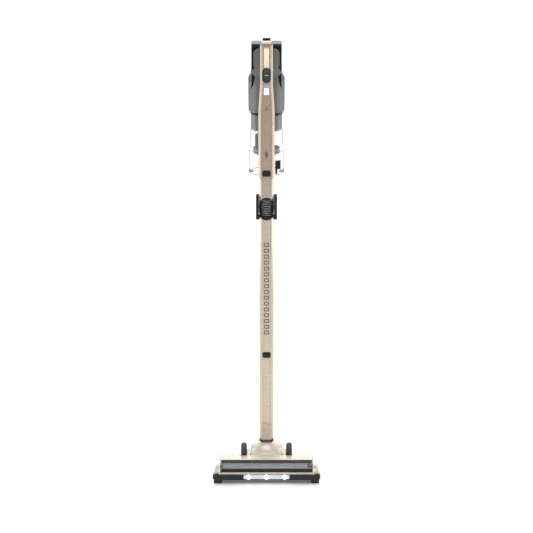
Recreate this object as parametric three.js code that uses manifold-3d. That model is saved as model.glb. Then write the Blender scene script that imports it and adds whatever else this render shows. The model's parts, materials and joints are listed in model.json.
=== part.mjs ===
// Cordless stick vacuum cleaner, standing parked on its floor head. Millimetres, +Z up, the front
// faces -Y.
// Bodies: floor head, brush, wheels, neck yoke, neck tube, lower tube, upper tube, handheld unit, dust
// bin, battery.
import * as THREE from "three";
import { mergeVertices } from "three/addons/utils/BufferGeometryUtils.js";
import Module from "manifold-3d";

const wasm = await Module();
wasm.setup();

// ---------------------------------------- driving dimensions
const gap = 0.3; // between pieces that touch
const slideGap = 0.6; // round a button or a plug that slides
const lean = THREE.MathUtils.degToRad(5); // the parked stick leans forward, its weight over the head

const wheel = { radius: 38, width: 15, inner: 51, hubRadius: 24, tyreCrown: 2 };
const axle = { radius: 4, length: 3, trunnion: 9, trunnionLength: 4.6 };
const arm = { width: 8.1, radius: 20 };
const barrel = { radius: 36, length: 82, wall: 3, fillet: 7, headGap: 1.5 };

const cover = { corner: 7, width: 272, topTaper: 9.5, backTaper: 10, room: 9, bottom: 23, back: 12,
  wall: 2.4, endLength: 18 };
const roller = { radius: 21, core: 13, floorGap: 3, behind: 43, tunnelGap: 3, tunnelWall: 2 };
const windowPane = { margin: 1, from: 100, to: 170, thickness: 1.6, recess: 0.7 };
const bumper = { proud: 2, thickness: 6, bottom: 11, footWidth: 24, footDepth: 22, sideLength: 24 };
const lightBar = { halfWidth: 58.5, depth: 3.2 };
const sole = { thickness: 2.5, bottom: 4 };
const drive = { width: 5, thickness: 1.3, rollerPulley: 9, motorPulley: 5, motorClear: 5,
  motorAbove: 12, motorRadius: 11 };

const tube = { width: 37, depth: 44, wall: 1.8, chamferX: 6.5, chamferY: 10, round: 3 };
const collar = { bottom: 50, height: 8 };
const neck = { length: 222, postRadius: 15, clipHeight: 45, clipProud: 1.2 };
const lower = { length: 366 };
const fold = { length: 57, cheek: 4, earWidth: 7.4, earDepth: 28, earLength: 63, cup: 7, pin: 4,
  archRadius: 19.6, hose: 13.5 };
const stub = { length: 47 };
const plug = { length: 42, seat: 24, wall: 2, leadSlot: 5 };
const button = { width: 19.5, height: 14.5, thickness: 2.8, proud: 0.8, above: 3.6 };

const spine = { overhang: 1.15, gripWidth: 31, height: 335, wall: 2.2, ductTop: 186, gripDepth: 31,
  rearDepth: 22.7 };
const rocker = { width: 20.4, height: 36, bezel: 1.6, middle: 257, tilt: 0.14 };
const display = { width: 16, height: 26.5, middle: 222.4, thickness: 2 };
const housing = { halfWidth: 45, corner: 28, bottom: 154, shoulder: 236, top: 269, topHalfWidth: 25,
  wall: 2.6, floor: 199 };
const bin = { axis: 68, neck: 38.5, upper: 40, lower: 44.5, top: 145.7, collar: 109.2, flareTop: 62,
  flareBottom: 55,
  bottom: -3, wall: 2 };
const inlet = { proud: 8.35, right: -4, bottom: 70, top: 112, wall: 2.5 };
const battery = { width: 75, depth: 54, bottom: 206, top: 312, capHeight: 7.7, latchTop: 15.2,
  wall: 2, holderGap: 5.5 };
const door = { thickness: 8, taper: 4.5, hingeBehind: 4, lug: 18, ear: 3.5, pin: 1.6 };

// ---------------------------------------- heights that follow, from the wheel axle up the stick
const neckBottom = collar.bottom + collar.height;
const neckTop = neckBottom + neck.length;
const lowerTop = neckTop + lower.length;
const foldPivot = lowerTop + fold.length / 2;
const stubBottom = lowerTop + fold.length;
const stubTop = stubBottom + stub.length;

// ---------------------------------------- places and widths that follow from the pieces' own sizes
const rollerZ = roller.radius + roller.floorGap;
const rollerAhead = roller.radius + roller.behind;
const coverRadius = roller.radius + cover.room;
const coverTop = rollerZ + coverRadius;
const frontY = -rollerAhead - coverRadius;
const motorBehind = roller.radius + drive.motorClear + drive.motorRadius;
const endInner = cover.width / 2 - cover.endLength;
const windowHalf = endInner - windowPane.margin;
const spineWidth = tube.width + 2 * spine.overhang;
const inletLeft = -spineWidth / 2 - inlet.proud;
const batteryFront = bin.axis - housing.halfWidth + 29.5;

// ---------------------------------------- materials
const finish = (color, roughness, metalness = 0, extra = {}) =>
  new THREE.MeshStandardMaterial({ color, roughness, metalness, ...extra });
const gold = finish(0xd9c6a8, 0.32, 0.55);
const graphite = finish(0x55565a, 0.35, 0.5);
const black = finish(0x1b1c1e, 0.5);
const rubber = finish(0x2e3032, 0.8);
const silver = finish(0xb9bcbc, 0.35, 0.6);
const greyPlastic = finish(0x8b8e90, 0.5);
const steel = finish(0xc8cacc, 0.25, 1);
const copper = finish(0xb87644, 0.4, 1);
const clear = finish(0xe8eef0, 0.08, 0, { transparent: true, opacity: 0.3 });
const lampWhite = finish(0xffffff, 0.3, 0, { emissive: 0xffffff });
const pile = finish(0x9a9da2, 0.95);
const filterWhite = finish(0xe6e6e0, 0.9);

// ---------------------------------------- shapes
const point = (x, y) => new THREE.Vector2(x, y);

// An outline whose corners are rounded by the given radius.
function outline(points, round = 0) {
  const shape = new THREE.Shape();
  const count = points.length;
  points.forEach((corner, i) => {
    const before = points[(i + count - 1) % count];
    const after = points[(i + 1) % count];
    const step = (to) => {
      const side = to.clone().sub(corner);
      return corner.clone().add(side.setLength(Math.min(round, side.length() * 0.49)));
    };
    const enter = step(before);
    const leave = step(after);
    if (i === 0) shape.moveTo(enter.x, enter.y);
    else shape.lineTo(enter.x, enter.y);
    if (round > 0) shape.quadraticCurveTo(corner.x, corner.y, leave.x, leave.y);
  });
  shape.closePath();
  return shape;
}

const rectangle = (x0, y0, x1, y1, round = 0) =>
  outline([point(x0, y0), point(x1, y0), point(x1, y1), point(x0, y1)], round);

// A ring sector from one angle to another, in degrees, about a centre.
function sector(centre, inner, outer, from, to) {
  const a = THREE.MathUtils.degToRad(from);
  const b = THREE.MathUtils.degToRad(to);
  const shape = new THREE.Shape();
  shape.absarc(centre.x, centre.y, outer, a, b, false);
  if (inner > 0) shape.absarc(centre.x, centre.y, inner, b, a, true);
  else shape.lineTo(centre.x, centre.y);
  shape.closePath();
  return shape;
}

function circle(radius, x = 0, y = 0) {
  const shape = new THREE.Shape();
  shape.absarc(x, y, radius, 0, Math.PI * 2, false);
  return shape;
}

// Extrudes an outline between two places on an axis. Outlines for x are drawn in (Y, Z), for y in (X,
// Z).
function prism(shape, axis, from, to, curveSegments = 6) {
  const made = new THREE.ExtrudeGeometry(shape, { depth: to - from, bevelEnabled: false,
    curveSegments });
  const [x, y, z] = [new THREE.Vector3(1, 0, 0), new THREE.Vector3(0, 1, 0),
    new THREE.Vector3(0, 0, 1)];
  if (axis === "x") made.applyMatrix4(new THREE.Matrix4().makeBasis(y, z, x)).translate(from, 0, 0);
  if (axis === "y") made.applyMatrix4(new THREE.Matrix4().makeBasis(x, z, y.negate())).translate(0, to,
    0);
  if (axis === "z") made.translate(0, 0, from);
  return made;
}

const block = (x0, x1, y0, y1, z0, z1) =>
  new THREE.BoxGeometry(x1 - x0, y1 - y0, z1 - z0).translate((x0 + x1) / 2, (y0 + y1) / 2,
  (z0 + z1) / 2);

// Turns a profile of [radius, place] pairs about the z or the x axis. The profile runs up its outer
// side.
function turned(profile, axis = "z", segments = 24) {
  const made = new THREE.LatheGeometry(profile.map(([r, h]) => point(r, h)), segments);
  return axis === "z" ? made.rotateX(Math.PI / 2) : made.rotateZ(-Math.PI / 2);
}

const disc = (radius, from, to, axis = "z", segments = 24) =>
  turned([[0, from], [radius, from], [radius, to], [0, to]], axis, segments);

const ring = (inner, outer, from, to, axis = "z", segments = 24) =>
  turned([[inner, from], [outer, from], [outer, to], [inner, to], [inner, from]], axis, segments);

// Skins a closed solid over rings of points that all have the same count.
function loft(rings) {
  const count = rings[0].length;
  const corners = rings.flat();
  const faces = [];
  for (let r = 0; r + 1 < rings.length; r++)
    for (let i = 0; i < count; i++) {
      const [a, b] = [r * count + i, r * count + ((i + 1) % count)];
      faces.push(a, b, b + count, a, b + count, a + count);
    }
  const last = (rings.length - 1) * count;
  for (let i = 1; i + 1 < count; i++) faces.push(0, i + 1, i, last, last + i, last + i + 1);
  const made = new THREE.BufferGeometry();
  const places = corners.flatMap((p) => p.toArray());
  made.setAttribute("position", new THREE.Float32BufferAttribute(places, 3));
  made.setIndex(faces);
  return made;
}

// ---------------------------------------- booleans
function solid(geometry) {
  const bare = (geometry.index ? geometry.toNonIndexed() : geometry.clone());
  bare.deleteAttribute("normal");
  bare.deleteAttribute("uv");
  const merged = mergeVertices(bare, 1e-4);
  return new wasm.Manifold(
    new wasm.Mesh({
      numProp: 3,
      vertProperties: merged.attributes.position.array,
      triVerts: new Uint32Array(merged.index.array),
    }),
  );
}

function geometryOf(manifold) {
  const mesh = manifold.getMesh();
  const made = new THREE.BufferGeometry();
  made.setAttribute("position", new THREE.BufferAttribute(new Float32Array(mesh.vertProperties), 3));
  made.setIndex(new THREE.BufferAttribute(new Uint32Array(mesh.triVerts), 1));
  made.computeVertexNormals();
  return made;
}

const cut = (from, ...tools) =>
  geometryOf(tools.reduce((left, tool) => left.subtract(solid(tool)), solid(from)));
const join = (...pieces) => geometryOf(pieces.slice(1).reduce((sum, piece) => sum.add(solid(piece)),
  solid(pieces[0])));
const common = (...pieces) =>
  geometryOf(pieces.slice(1).reduce((left, piece) => left.intersect(solid(piece)), solid(pieces[0])));

const vacuum = new THREE.Group();

function add(parent, name, geometry, material, x = 0, y = 0, z = 0) {
  const mesh = new THREE.Mesh(geometry, material);
  mesh.name = name;
  mesh.position.set(x, y, z);
  parent.add(mesh);
  return mesh;
}

function groupAt(parent, x, y, z, tilt = 0) {
  const group = new THREE.Group();
  group.position.set(x, y, z);
  group.rotation.x = tilt;
  parent.add(group);
  return group;
}

// Runs a piece for the right side and its mirror image for the left.
const sides = [["right", 1], ["left", -1]];
const between = (side, inner, outer) => (side > 0 ? [inner, outer] : [-outer, -inner]);

// ---------------------------------------- floor head
const head = groupAt(vacuum, 0, 0, 0);
const rollerAxis = point(-rollerAhead, rollerZ);

// The outer form of the head's cover, made smaller all round by an inset and open below it.
function coverForm(inset) {
  const reach = coverRadius - inset;
  const bottom = cover.bottom - (inset > 0 ? 1 : 0);
  const profile = new THREE.Shape();
  profile.moveTo(rollerAxis.x - reach, bottom);
  profile.lineTo(rollerAxis.x - reach, rollerZ);
  profile.absarc(rollerAxis.x, rollerZ, reach, Math.PI, Math.PI / 2, true);
  profile.lineTo(-cover.back - 14, rollerZ + reach);
  profile.quadraticCurveTo(-cover.back - inset, rollerZ + reach, -cover.back - inset,
    rollerZ + reach - 14);
  profile.lineTo(-cover.back - inset, bottom);
  profile.closePath();
  const half = cover.width / 2 - inset;
  const backHalf = cover.width / 2 - cover.backTaper - inset;
  const topHalf = cover.width / 2 - cover.topTaper - inset;
  const far = coverRadius * 4;
  const plan = outline([point(-half, frontY), point(half, frontY), point(backHalf, -cover.back),
    point(-backHalf, -cover.back)], cover.corner);
  const front = outline([point(-half, 0), point(half, 0), point(half, cover.bottom),
    point(topHalf, coverTop - inset),
    point(-topHalf, coverTop - inset), point(-half, cover.bottom)], 3);
  return common(prism(profile, "x", -half, half, 8), prism(plan, "z", 0, far, 3),
    prism(front, "y", -far, 0, 2));
}

const barrelNotch = turned([[0, -barrel.length / 2 - 2], [barrel.radius + barrel.headGap,
  -barrel.length / 2 - 2],
  [barrel.radius + barrel.headGap, barrel.length / 2 + 2], [0, barrel.length / 2 + 2]], "x",
  40).translate(0, 0, wheel.radius);
const paneCut = prism(sector(rollerAxis, 0, coverRadius + 6, windowPane.from - 2,
  windowPane.to + 1.5), "x",
  -windowHalf - gap, windowHalf + gap, 10);
const armSlots = sides.map(([, side]) => {
  const [x0, x1] = between(side, barrel.length / 2 + 1, barrel.length / 2 + arm.width + 1.6);
  return block(x0, x1, -cover.back - 12, 0, 0, coverTop + 1);
});

const wheelWells = sides.map(([, side]) =>
  disc(wheel.radius + 2, ...between(side, wheel.inner - 1.2, wheel.inner + wheel.width + 1.2), "x",
  32).translate(0, 0, wheel.radius));
add(head, "head_top_cover", cut(common(coverForm(0), block(-endInner, endInner, -200, 0, 0, 100)),
  coverForm(cover.wall), paneCut, barrelNotch, ...armSlots, ...wheelWells), gold);

const paneRadius = coverRadius - windowPane.recess;
add(head, "brush_window", prism(sector(rollerAxis, paneRadius - windowPane.thickness, paneRadius,
  windowPane.from, windowPane.to),
  "x", -windowHalf, windowHalf, 8), clear);

for (const [name, side] of sides) {
  const [x0, x1] = between(side, endInner + gap, cover.width / 2 + 1);
  const [p0, p1] = between(side, endInner + 3.5, cover.width / 2 - 3.5);
  const pocket = prism(rectangle(p0, cover.bottom - 2, p1, rollerZ + 12, 3), "y", frontY - 2,
    frontY + 5, 3);
  const hollow = common(coverForm(3.2), block(...between(side, endInner - 1, cover.width / 2),
    frontY + 12, 0, 0, coverTop));
  add(head, "end_cap_" + name, cut(common(coverForm(0), block(x0, x1, -200, 0, 0, 100)), pocket,
    hollow), gold);
}

// Chassis: a frame round the brush opening, the tunnel behind the brush, and a floor under the motor
// bay.
const baseTop = cover.bottom - gap;
const baseBottom = sole.bottom + sole.thickness + gap;
const baseHalf = cover.width / 2 - 3;
const baseBackHalf = baseHalf - cover.backTaper;
const openingFront = frontY + 6;
const tunnelInner = roller.radius + roller.tunnelGap;
const openingBack = -rollerAhead + tunnelInner;
const tunnel = prism(sector(rollerAxis, tunnelInner, tunnelInner + roller.tunnelWall, -8, 68), "x",
  -endInner + 6, endInner - 16, 5);
const basePlan = prism(outline([point(-baseHalf, frontY + 3.5), point(baseHalf, frontY + 3.5),
  point(baseBackHalf, -cover.back - 1), point(-baseBackHalf, -cover.back - 1)],
  10), "z", baseBottom, baseTop, 3);
const brushOpening = block(-endInner - 0.5, endInner + 0.5, openingFront, openingBack, 0, 60);
const bayInner = wheel.inner + wheel.width + 3;
const motorBay = sides.map(([, side]) => block(...between(side, bayInner, endInner - 4),
  openingBack + 3, -cover.back - 4, baseBottom + 2.4, 60));
add(head, "head_chassis", cut(join(cut(basePlan, brushOpening, ...motorBay), tunnel), barrelNotch,
  ...armSlots, ...wheelWells), black);

const soleOpening = block(-endInner + 5, endInner - 5, openingFront + 1, openingBack - 1, 0, 20);
const solePlan = prism(outline([point(-baseHalf, frontY + 4), point(baseHalf, frontY + 4),
  point(baseBackHalf, -cover.back - 1), point(-baseBackHalf, -cover.back - 1)],
  10),
  "z", sole.bottom, sole.bottom + sole.thickness, 3);
add(head, "sole_plate", cut(solePlan, soleOpening, barrelNotch, ...armSlots, ...wheelWells),
  greyPlastic);

// Bumper with its two feet and a shallow recess for the light bar.
const bumperFront = frontY - 3;
const bumperTop = cover.bottom - gap;
const bumperHalf = cover.width / 2 + bumper.proud;
const bumperPlan = (inset, sideEnd) => outline([point(-bumperHalf + inset, bumperFront + inset),
  point(bumperHalf - inset, bumperFront + inset),
  point(bumperHalf - inset - 2, sideEnd), point(-bumperHalf + inset + 2, sideEnd)], Math.max(5 - inset, 0));
const bumperEnd = bumperFront + bumper.sideLength;
const bumperStrip = cut(prism(bumperPlan(0, bumperEnd), "z", bumper.bottom, bumperTop, 3),
  prism(bumperPlan(bumper.thickness, bumperEnd + 20), "z", 0, bumperTop + 1, 3),
  block(-baseHalf - gap, baseHalf + gap, frontY + 3.5 - gap, 0, 0, 60),
  block(-lightBar.halfWidth - gap, lightBar.halfWidth + gap, bumperFront - 1,
  bumperFront + lightBar.depth, 0, 60));
const feet = sides.map(([, side]) => {
  const [outer, inner] = [side * (bumperHalf - 3.5), side * (bumperHalf - 3.5 - bumper.footWidth)];
  const shape = outline(side > 0
    ? [point(inner + 6, 0), point(outer, 0), point(outer, bumper.bottom + 1),
      point(inner, bumper.bottom + 1)]
    : [point(outer, 0), point(inner - 6, 0), point(inner, bumper.bottom + 1),
      point(outer, bumper.bottom + 1)], 0);
  return prism(shape, "y", bumperFront + 1, bumperFront + bumper.thickness - 0.5, 2);
});
const footPads = sides.map(([, side]) =>
  block(...between(side, bumperHalf - 3.5 - bumper.footWidth + 6, bumperHalf - 3.5), bumperFront + 1,
  bumperFront + bumper.footDepth, 0, sole.bottom - gap));
add(head, "front_bumper", join(bumperStrip, ...feet, ...footPads), black);

add(head, "light_bar_lens", prism(rectangle(-lightBar.halfWidth, bumper.bottom + 0.5,
  lightBar.halfWidth, bumperTop - 0.4, 3), "y",
  bumperFront + 0.4, bumperFront + lightBar.depth - 1.2, 3), lampWhite);

// Arms that carry the wheel axles and the neck yoke.
for (const [name, side] of sides) {
  const [x0, x1] = between(side, barrel.length / 2 + 1.3, barrel.length / 2 + 1.3 + arm.width);
  const reach = cover.back + 11.5;
  const shape = new THREE.Shape();
  shape.moveTo(-reach, baseBottom);
  shape.lineTo(-arm.radius * 0.2, baseBottom + 6);
  shape.absarc(0, wheel.radius, arm.radius, -Math.PI / 3, Math.PI / 2 + 0.5, false);
  shape.lineTo(-reach, coverTop - 6);
  shape.closePath();
  const trunnionEnd = barrel.length / 2 + axle.trunnionLength + gap;
  const trunnionBore = disc(axle.trunnion + gap, ...between(side, barrel.length / 2, trunnionEnd), "x",
    24);
  const axleBore = disc(axle.radius + gap, ...between(side, wheel.inner - axle.length - gap,
    wheel.inner + 2), "x", 20);
  add(head, "axle_arm_" + name, cut(prism(shape, "x", x0, x1, 7),
    trunnionBore.translate(0, 0, wheel.radius),
    axleBore.translate(0, 0, wheel.radius)), gold);
}

// Brush drive: motor, its pulley, the belt and the roller.
const pulleyX = endInner - 8.5;
const motorY = -rollerAhead + motorBehind;
const motorZ = rollerZ + drive.motorAbove;
add(head, "brush_motor", join(disc(drive.motorRadius, bayInner + 1, pulleyX - 6, "x", 20),
  disc(5, pulleyX - 6.5, pulleyX - 4.5, "x", 20)).translate(0, motorY, motorZ), steel);
add(head, "brush_motor_pulley", join(disc(drive.motorPulley - drive.thickness,
  pulleyX - drive.width / 2, pulleyX + drive.width / 2, "x", 16),
  disc(1.5, pulleyX - 4.2, pulleyX, "x", 12)).translate(0, motorY, motorZ), greyPlastic);

// An outline round two circles, grown by an offset, as a belt runs.
function beltLoop(offset) {
  const [bigR, smallR] = [drive.rollerPulley + offset, drive.motorPulley + offset];
  const [dy, dz] = [motorBehind, drive.motorAbove];
  const along = Math.atan2(dz, dy);
  const spread = Math.acos((bigR - smallR) / Math.hypot(dy, dz));
  const shape = new THREE.Shape();
  shape.absarc(rollerAxis.x, rollerZ, bigR, along + spread, along - spread + Math.PI * 2, false);
  shape.absarc(motorY, motorZ, smallR, along - spread, along + spread, false);
  shape.closePath();
  return shape;
}
const belt = beltLoop(0);
belt.holes.push(new THREE.Path(beltLoop(-drive.thickness + gap).getPoints(8).reverse()));
add(head, "drive_belt", prism(belt, "x", pulleyX - drive.width / 2, pulleyX + drive.width / 2, 8),
  rubber);

const brush = groupAt(head, 0, -rollerAhead, rollerZ);
const rollerRight = pulleyX - drive.width / 2 - 2.2;
const rollerLeft = -endInner + 6;
add(brush, "roller_core", cut(join(disc(roller.core, rollerLeft, rollerRight, "x", 24),
  disc(3, -endInner + 0.6, endInner - 0.6, "x", 16)),
  disc(9, rollerLeft - 1, rollerLeft + 8, "x", 16).translate(0, 40, 0)), greyPlastic);
add(brush, "roller_pile", ring(roller.core + gap, roller.radius, rollerLeft + 1, rollerRight - 1, "x",
  32), pile);
add(brush, "roller_pulley", ring(3 + gap, drive.rollerPulley - drive.thickness,
  pulleyX - drive.width / 2, pulleyX + drive.width / 2, "x", 24),
  greyPlastic);

// Wheels.
for (const [name, side] of sides) {
  const spin = groupAt(head, 0, 0, wheel.radius);
  const [x0, x1] = between(side, wheel.inner, wheel.inner + wheel.width);
  const crown = wheel.radius - wheel.tyreCrown;
  add(spin, "tyre_" + name, turned([[wheel.hubRadius, x0], [crown - 2, x0], [crown, x0 + 2.5],
    [wheel.radius, (x0 + x1) / 2],
    [crown, x1 - 2.5], [crown - 2, x1], [wheel.hubRadius, x1], [wheel.hubRadius, x0]], "x", 32),
    rubber);
  const dish = disc(14, ...between(side, wheel.inner + wheel.width - 3, wheel.inner + wheel.width + 1),
    "x", 24);
  add(spin, "wheel_hub_" + name, cut(join(disc(wheel.hubRadius - gap, x0 + 0.8, x1 - 0.8, "x", 24),
    disc(axle.radius, ...between(side, wheel.inner - axle.length, wheel.inner + 3), "x", 20)), dish),
    greyPlastic);
}

// ---------------------------------------- neck yoke: the barrel that tips between the wheels
const stick = groupAt(vacuum, 0, 0, wheel.radius, lean);
const half = barrel.length / 2;
const barrelOuter = turned([[0, -half], [barrel.radius - barrel.fillet, -half],
  [barrel.radius, -half + barrel.fillet],
  [barrel.radius, half - barrel.fillet], [barrel.radius - barrel.fillet, half], [0, half]], "x", 36);
// A rounded section of the given width and depth, as points round a superellipse.
function sectionPoints(width, depth, z, count) {
  return Array.from({ length: count * 2 }, (_, i) => {
    const angle = (i / (count * 2)) * Math.PI * 2;
    const [c, s] = [Math.cos(angle), Math.sin(angle)];
    return new THREE.Vector3((Math.sign(c) * Math.abs(c) ** 0.8 * width) / 2,
      (Math.sign(s) * Math.abs(s) ** 0.8 * depth) / 2, z);
  });
}
const saddleSections = [[82, 60, 10], [81, 56, 24], [76, 50, 35], [62, 42, 43], [44, 35, 48]];
const saddle = loft(saddleSections.map(([w, d, z]) => sectionPoints(w, d, z, 9)));
const hollowHalf = half - barrel.wall;
const hollowRadius = barrel.radius - barrel.wall;
const barrelHollow = turned([[0, -hollowHalf], [hollowRadius - barrel.fillet, -hollowHalf],
  [hollowRadius, -hollowHalf + barrel.fillet],
  [hollowRadius, hollowHalf - barrel.fillet], [hollowRadius - barrel.fillet, hollowHalf],
  [0, hollowHalf]], "x", 24);
const mouth = block(-20, 20, -barrel.radius - 1, -barrel.radius + 12, -22, 0);
const trunnions = [-1, 1].map((side) => disc(axle.trunnion,
  ...between(side, half - 1, half + axle.trunnionLength), "x", 24));
const postBore = disc(neck.postRadius + 0.6, 0, collar.bottom, "z", 24);
add(stick, "yoke_shell", cut(join(barrelOuter, saddle, ...trunnions), barrelHollow, mouth, postBore),
  gold);
add(stick, "suction_elbow", cut(block(-17, 17, -barrel.radius + 8, 14, -20, 14),
  block(-14.5, 14.5, -barrel.radius, 11.5, -17.5, 15)), black);

// ---------------------------------------- tubes
// The tube's eight-sided section: a flat front, chamfered corners and a flat back.
function tubeOutline(inset = 0, width = tube.width, front = -tube.depth / 2, back = tube.depth / 2) {
  const w = width / 2 - inset;
  const [f, b] = [front + inset, back - inset];
  const [cx, cy] = [tube.chamferX - inset * 0.4, tube.chamferY - inset * 0.4];
  return outline([point(-w + cx, f), point(w - cx, f), point(w, f + cy), point(w, b - cy),
    point(w - cx, b), point(-w + cx, b),
    point(-w, b - cy), point(-w, f + cy)], Math.max(tube.round - inset, 1));
}
const tubeShell = (from, to) => cut(prism(tubeOutline(), "z", from, to, 2),
  prism(tubeOutline(tube.wall), "z", from - 1, to + 1, 2));
const buttonCut = (middle, grow = slideGap) =>
  prism(rectangle(-button.width / 2 - grow, middle - button.height / 2 - grow, button.width / 2 + grow,
  middle + button.height / 2 + grow, 4),
    "y", -tube.depth, 0, 3);
const releaseMiddle = button.above + button.height / 2 + 3.8;
const buttonFace = -tube.depth / 2 - button.proud;
const buttonBlock = (middle) => prism(rectangle(-button.width / 2, middle - button.height / 2,
  button.width / 2, middle + button.height / 2, 4),
  "y", buttonFace, buttonFace + button.thickness, 3);

// A plug that is fixed inside one tube and slides into the next.
function plugTube(seam, up, catchHeight) {
  const [from, to] = up ? [seam - plug.seat, seam + plug.length]
    : [seam - plug.length, seam + plug.seat];
  const catchPocket = buttonCut(catchHeight, 1.2);
  return cut(prism(tubeOutline(tube.wall + slideGap), "z", from, to, 2),
    prism(tubeOutline(tube.wall + slideGap + plug.wall), "z", from - 1, to + 1, 2), catchPocket,
    block(-plug.leadSlot, plug.leadSlot, 0, tube.depth, from - 1, to + 1));
}

const neckTube = groupAt(stick, 0, 0, 0);
add(neckTube, "neck_collar", cut(join(prism(tubeOutline(0.4), "z", collar.bottom, neckBottom - gap, 2),
  disc(neck.postRadius, 17, collar.bottom + 3, "z", 24)), disc(neck.postRadius - 2.4, 0, 200, "z",
  24)), black);
const clipBottom = neckBottom + 2;
const clipCut = block(-13, 13, -tube.depth / 2 - 2, -tube.depth / 2 + tube.wall + 1, clipBottom,
  clipBottom + neck.clipHeight);
add(neckTube, "neck_tube", cut(tubeShell(neckBottom, neckTop), clipCut), gold);
const clipFront = -tube.depth / 2 - neck.clipProud;
const clipShape = outline([point(-tube.depth / 2 + tube.wall, clipBottom + gap),
  point(clipFront, clipBottom + gap),
  point(clipFront, clipBottom + 29), point(-tube.depth / 2 + 0.2, clipBottom + neck.clipHeight - gap),
  point(-tube.depth / 2 + tube.wall, clipBottom + neck.clipHeight - gap)].reverse(), 0);
add(neckTube, "neck_clip_panel", prism(clipShape, "x", -13 + gap, 13 - gap), gold);

const lowerTube = groupAt(stick, 0, 0, 0);
const lowerButton = neckTop + button.above + button.height / 2;
const foldArch = (z, side) => prism(circle(fold.archRadius, 0, z + side * (fold.archRadius - 0.5)),
  "y", -50, 50, 10);
const rearButton = lowerTop - 26;
const rearButtonCut = (grow) => prism(rectangle(-8 - grow, rearButton - 10 - grow, 8 + grow,
  rearButton + 10 + grow, 4), "y", 0, 50, 3);
const earInner = tube.width / 2 + gap;
const earRoot = { from: 13, depth: 18 };
const rootSlots = sides.map(([, side]) => block(...between(side, earRoot.from - gap, 40),
  -earRoot.depth / 2 - gap, earRoot.depth / 2 + gap, lowerTop - gap, lowerTop + 12));
add(lowerTube, "lower_tube", cut(tubeShell(neckTop + gap, lowerTop + 6), buttonCut(lowerButton),
  rearButtonCut(slideGap),
  foldArch(lowerTop, 1), ...rootSlots), gold);
add(lowerTube, "lower_tube_plug", plugTube(neckTop, false, lowerButton), black);
add(lowerTube, "tube_release_button", buttonBlock(lowerButton), black);
add(lowerTube, "fold_release_button", prism(rectangle(-8, rearButton - 10, 8, rearButton + 10, 4), "y",
  tube.depth / 2 - 3.4, tube.depth / 2 + 1, 3), black);

// The folding joint: a cup on each tube end, ears outside, cheeks inside, a pin each side and the
// bellows hose through it.
function cup(z0, z1, insert) {
  return cut(join(prism(tubeOutline(tube.wall + gap), "z", z0, z1, 2), insert),
    disc(fold.hose + 1, z0 - 40, z1 + 40, "z", 24));
}
const lowerInsert = prism(tubeOutline(tube.wall + gap), "z", lowerTop - 12, lowerTop + 1, 2);
const upperInsert = prism(tubeOutline(tube.wall + gap), "z", stubBottom - 1, stubBottom + 12, 2);
const cheekInner = earInner - gap - fold.cheek;
const earShape = rectangle(-fold.earDepth / 2, foldPivot - fold.earLength / 2, fold.earDepth / 2,
  foldPivot + fold.earLength / 2, 9);
const ears = sides.map(([, side]) => prism(earShape, "x", ...between(side, earInner,
  earInner + fold.earWidth), 4));
const earRoots = sides.map(([, side]) => block(...between(side, earRoot.from, earInner + 1),
  -earRoot.depth / 2, earRoot.depth / 2, lowerTop, lowerTop + fold.cup));
const pinHole = (radius) => sides.map(([, side]) => disc(radius, ...between(side, 10, 40), "x",
  16).translate(0, 0, foldPivot));
const guard = [fold.hose + 1.5, fold.hose + 3.5];
const hoseGuards = [block(-11.5, 11.5, ...guard, lowerTop, lowerTop + fold.cup),
  block(-earInner + gap, earInner - gap, ...guard, lowerTop + 6 + gap, foldPivot + 13.5)];
add(lowerTube, "fold_fork_lower", cut(join(cup(lowerTop, lowerTop + fold.cup, lowerInsert), ...ears,
  ...earRoots, ...hoseGuards), disc(fold.hose + 1, lowerTop - 30, lowerTop + 30, "z", 24),
  ...pinHole(fold.pin + gap)), black);
for (const [name, side] of sides)
  add(lowerTube, "fold_pin_" + name, disc(fold.pin, ...between(side, cheekInner + 0.4,
    earInner + fold.earWidth - 0.8), "x", 16)
    .translate(0, 0, foldPivot), steel);

const upperTube = groupAt(stick, 0, 0, foldPivot);
const up = (geometry) => geometry.translate(0, 0, -foldPivot);
const cheekShape = new THREE.Shape();
cheekShape.absarc(0, foldPivot, 9.5, Math.PI, Math.PI * 2, false);
cheekShape.lineTo(9.5, stubBottom);
cheekShape.lineTo(-9.5, stubBottom);
cheekShape.closePath();
const cheeks = sides.map(([, side]) => prism(cheekShape, "x",
  ...between(side, cheekInner, earInner - gap), 6));
add(upperTube, "fold_fork_upper", up(cut(join(cup(stubBottom - fold.cup, stubBottom, upperInsert),
  ...cheeks),
  disc(fold.hose + 1, stubBottom - 30, stubBottom + 30, "z", 24), ...pinHole(fold.pin + gap))), black);
const stubShell = cut(tubeShell(stubBottom - 14, stubTop - gap), foldArch(stubBottom, -1),
  ...sides.map(([, side]) => block(...between(side, 10, 40), -9.5 - gap, 9.5 + gap, stubBottom - 30,
  stubBottom + 0.5)));
add(upperTube, "upper_tube", up(stubShell), gold);
add(upperTube, "upper_tube_plug", up(plugTube(stubTop, true, stubTop + releaseMiddle)), black);
// Ribs of the hose, a zigzag profile turned about the stick's axis.
const hoseFrom = lowerTop + 0.5;
const hoseTo = stubBottom - 0.5;
const ribs = 8;
const zigzag = Array.from({ length: ribs * 2 + 1 }, (_, i) => [i % 2 ? fold.hose : fold.hose - 2.6,
  hoseFrom + ((hoseTo - hoseFrom) * i) / (ribs * 2)]);
const hoseInner = fold.hose - 4;
add(upperTube, "bellows_hose", up(turned([[hoseInner, hoseFrom], ...zigzag, [hoseInner, hoseTo],
  [hoseInner, hoseFrom]], "z", 18)), rubber);

// ---------------------------------------- handheld unit
const handheld = groupAt(upperTube, 0, 0, stubTop - foldPivot);
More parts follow.
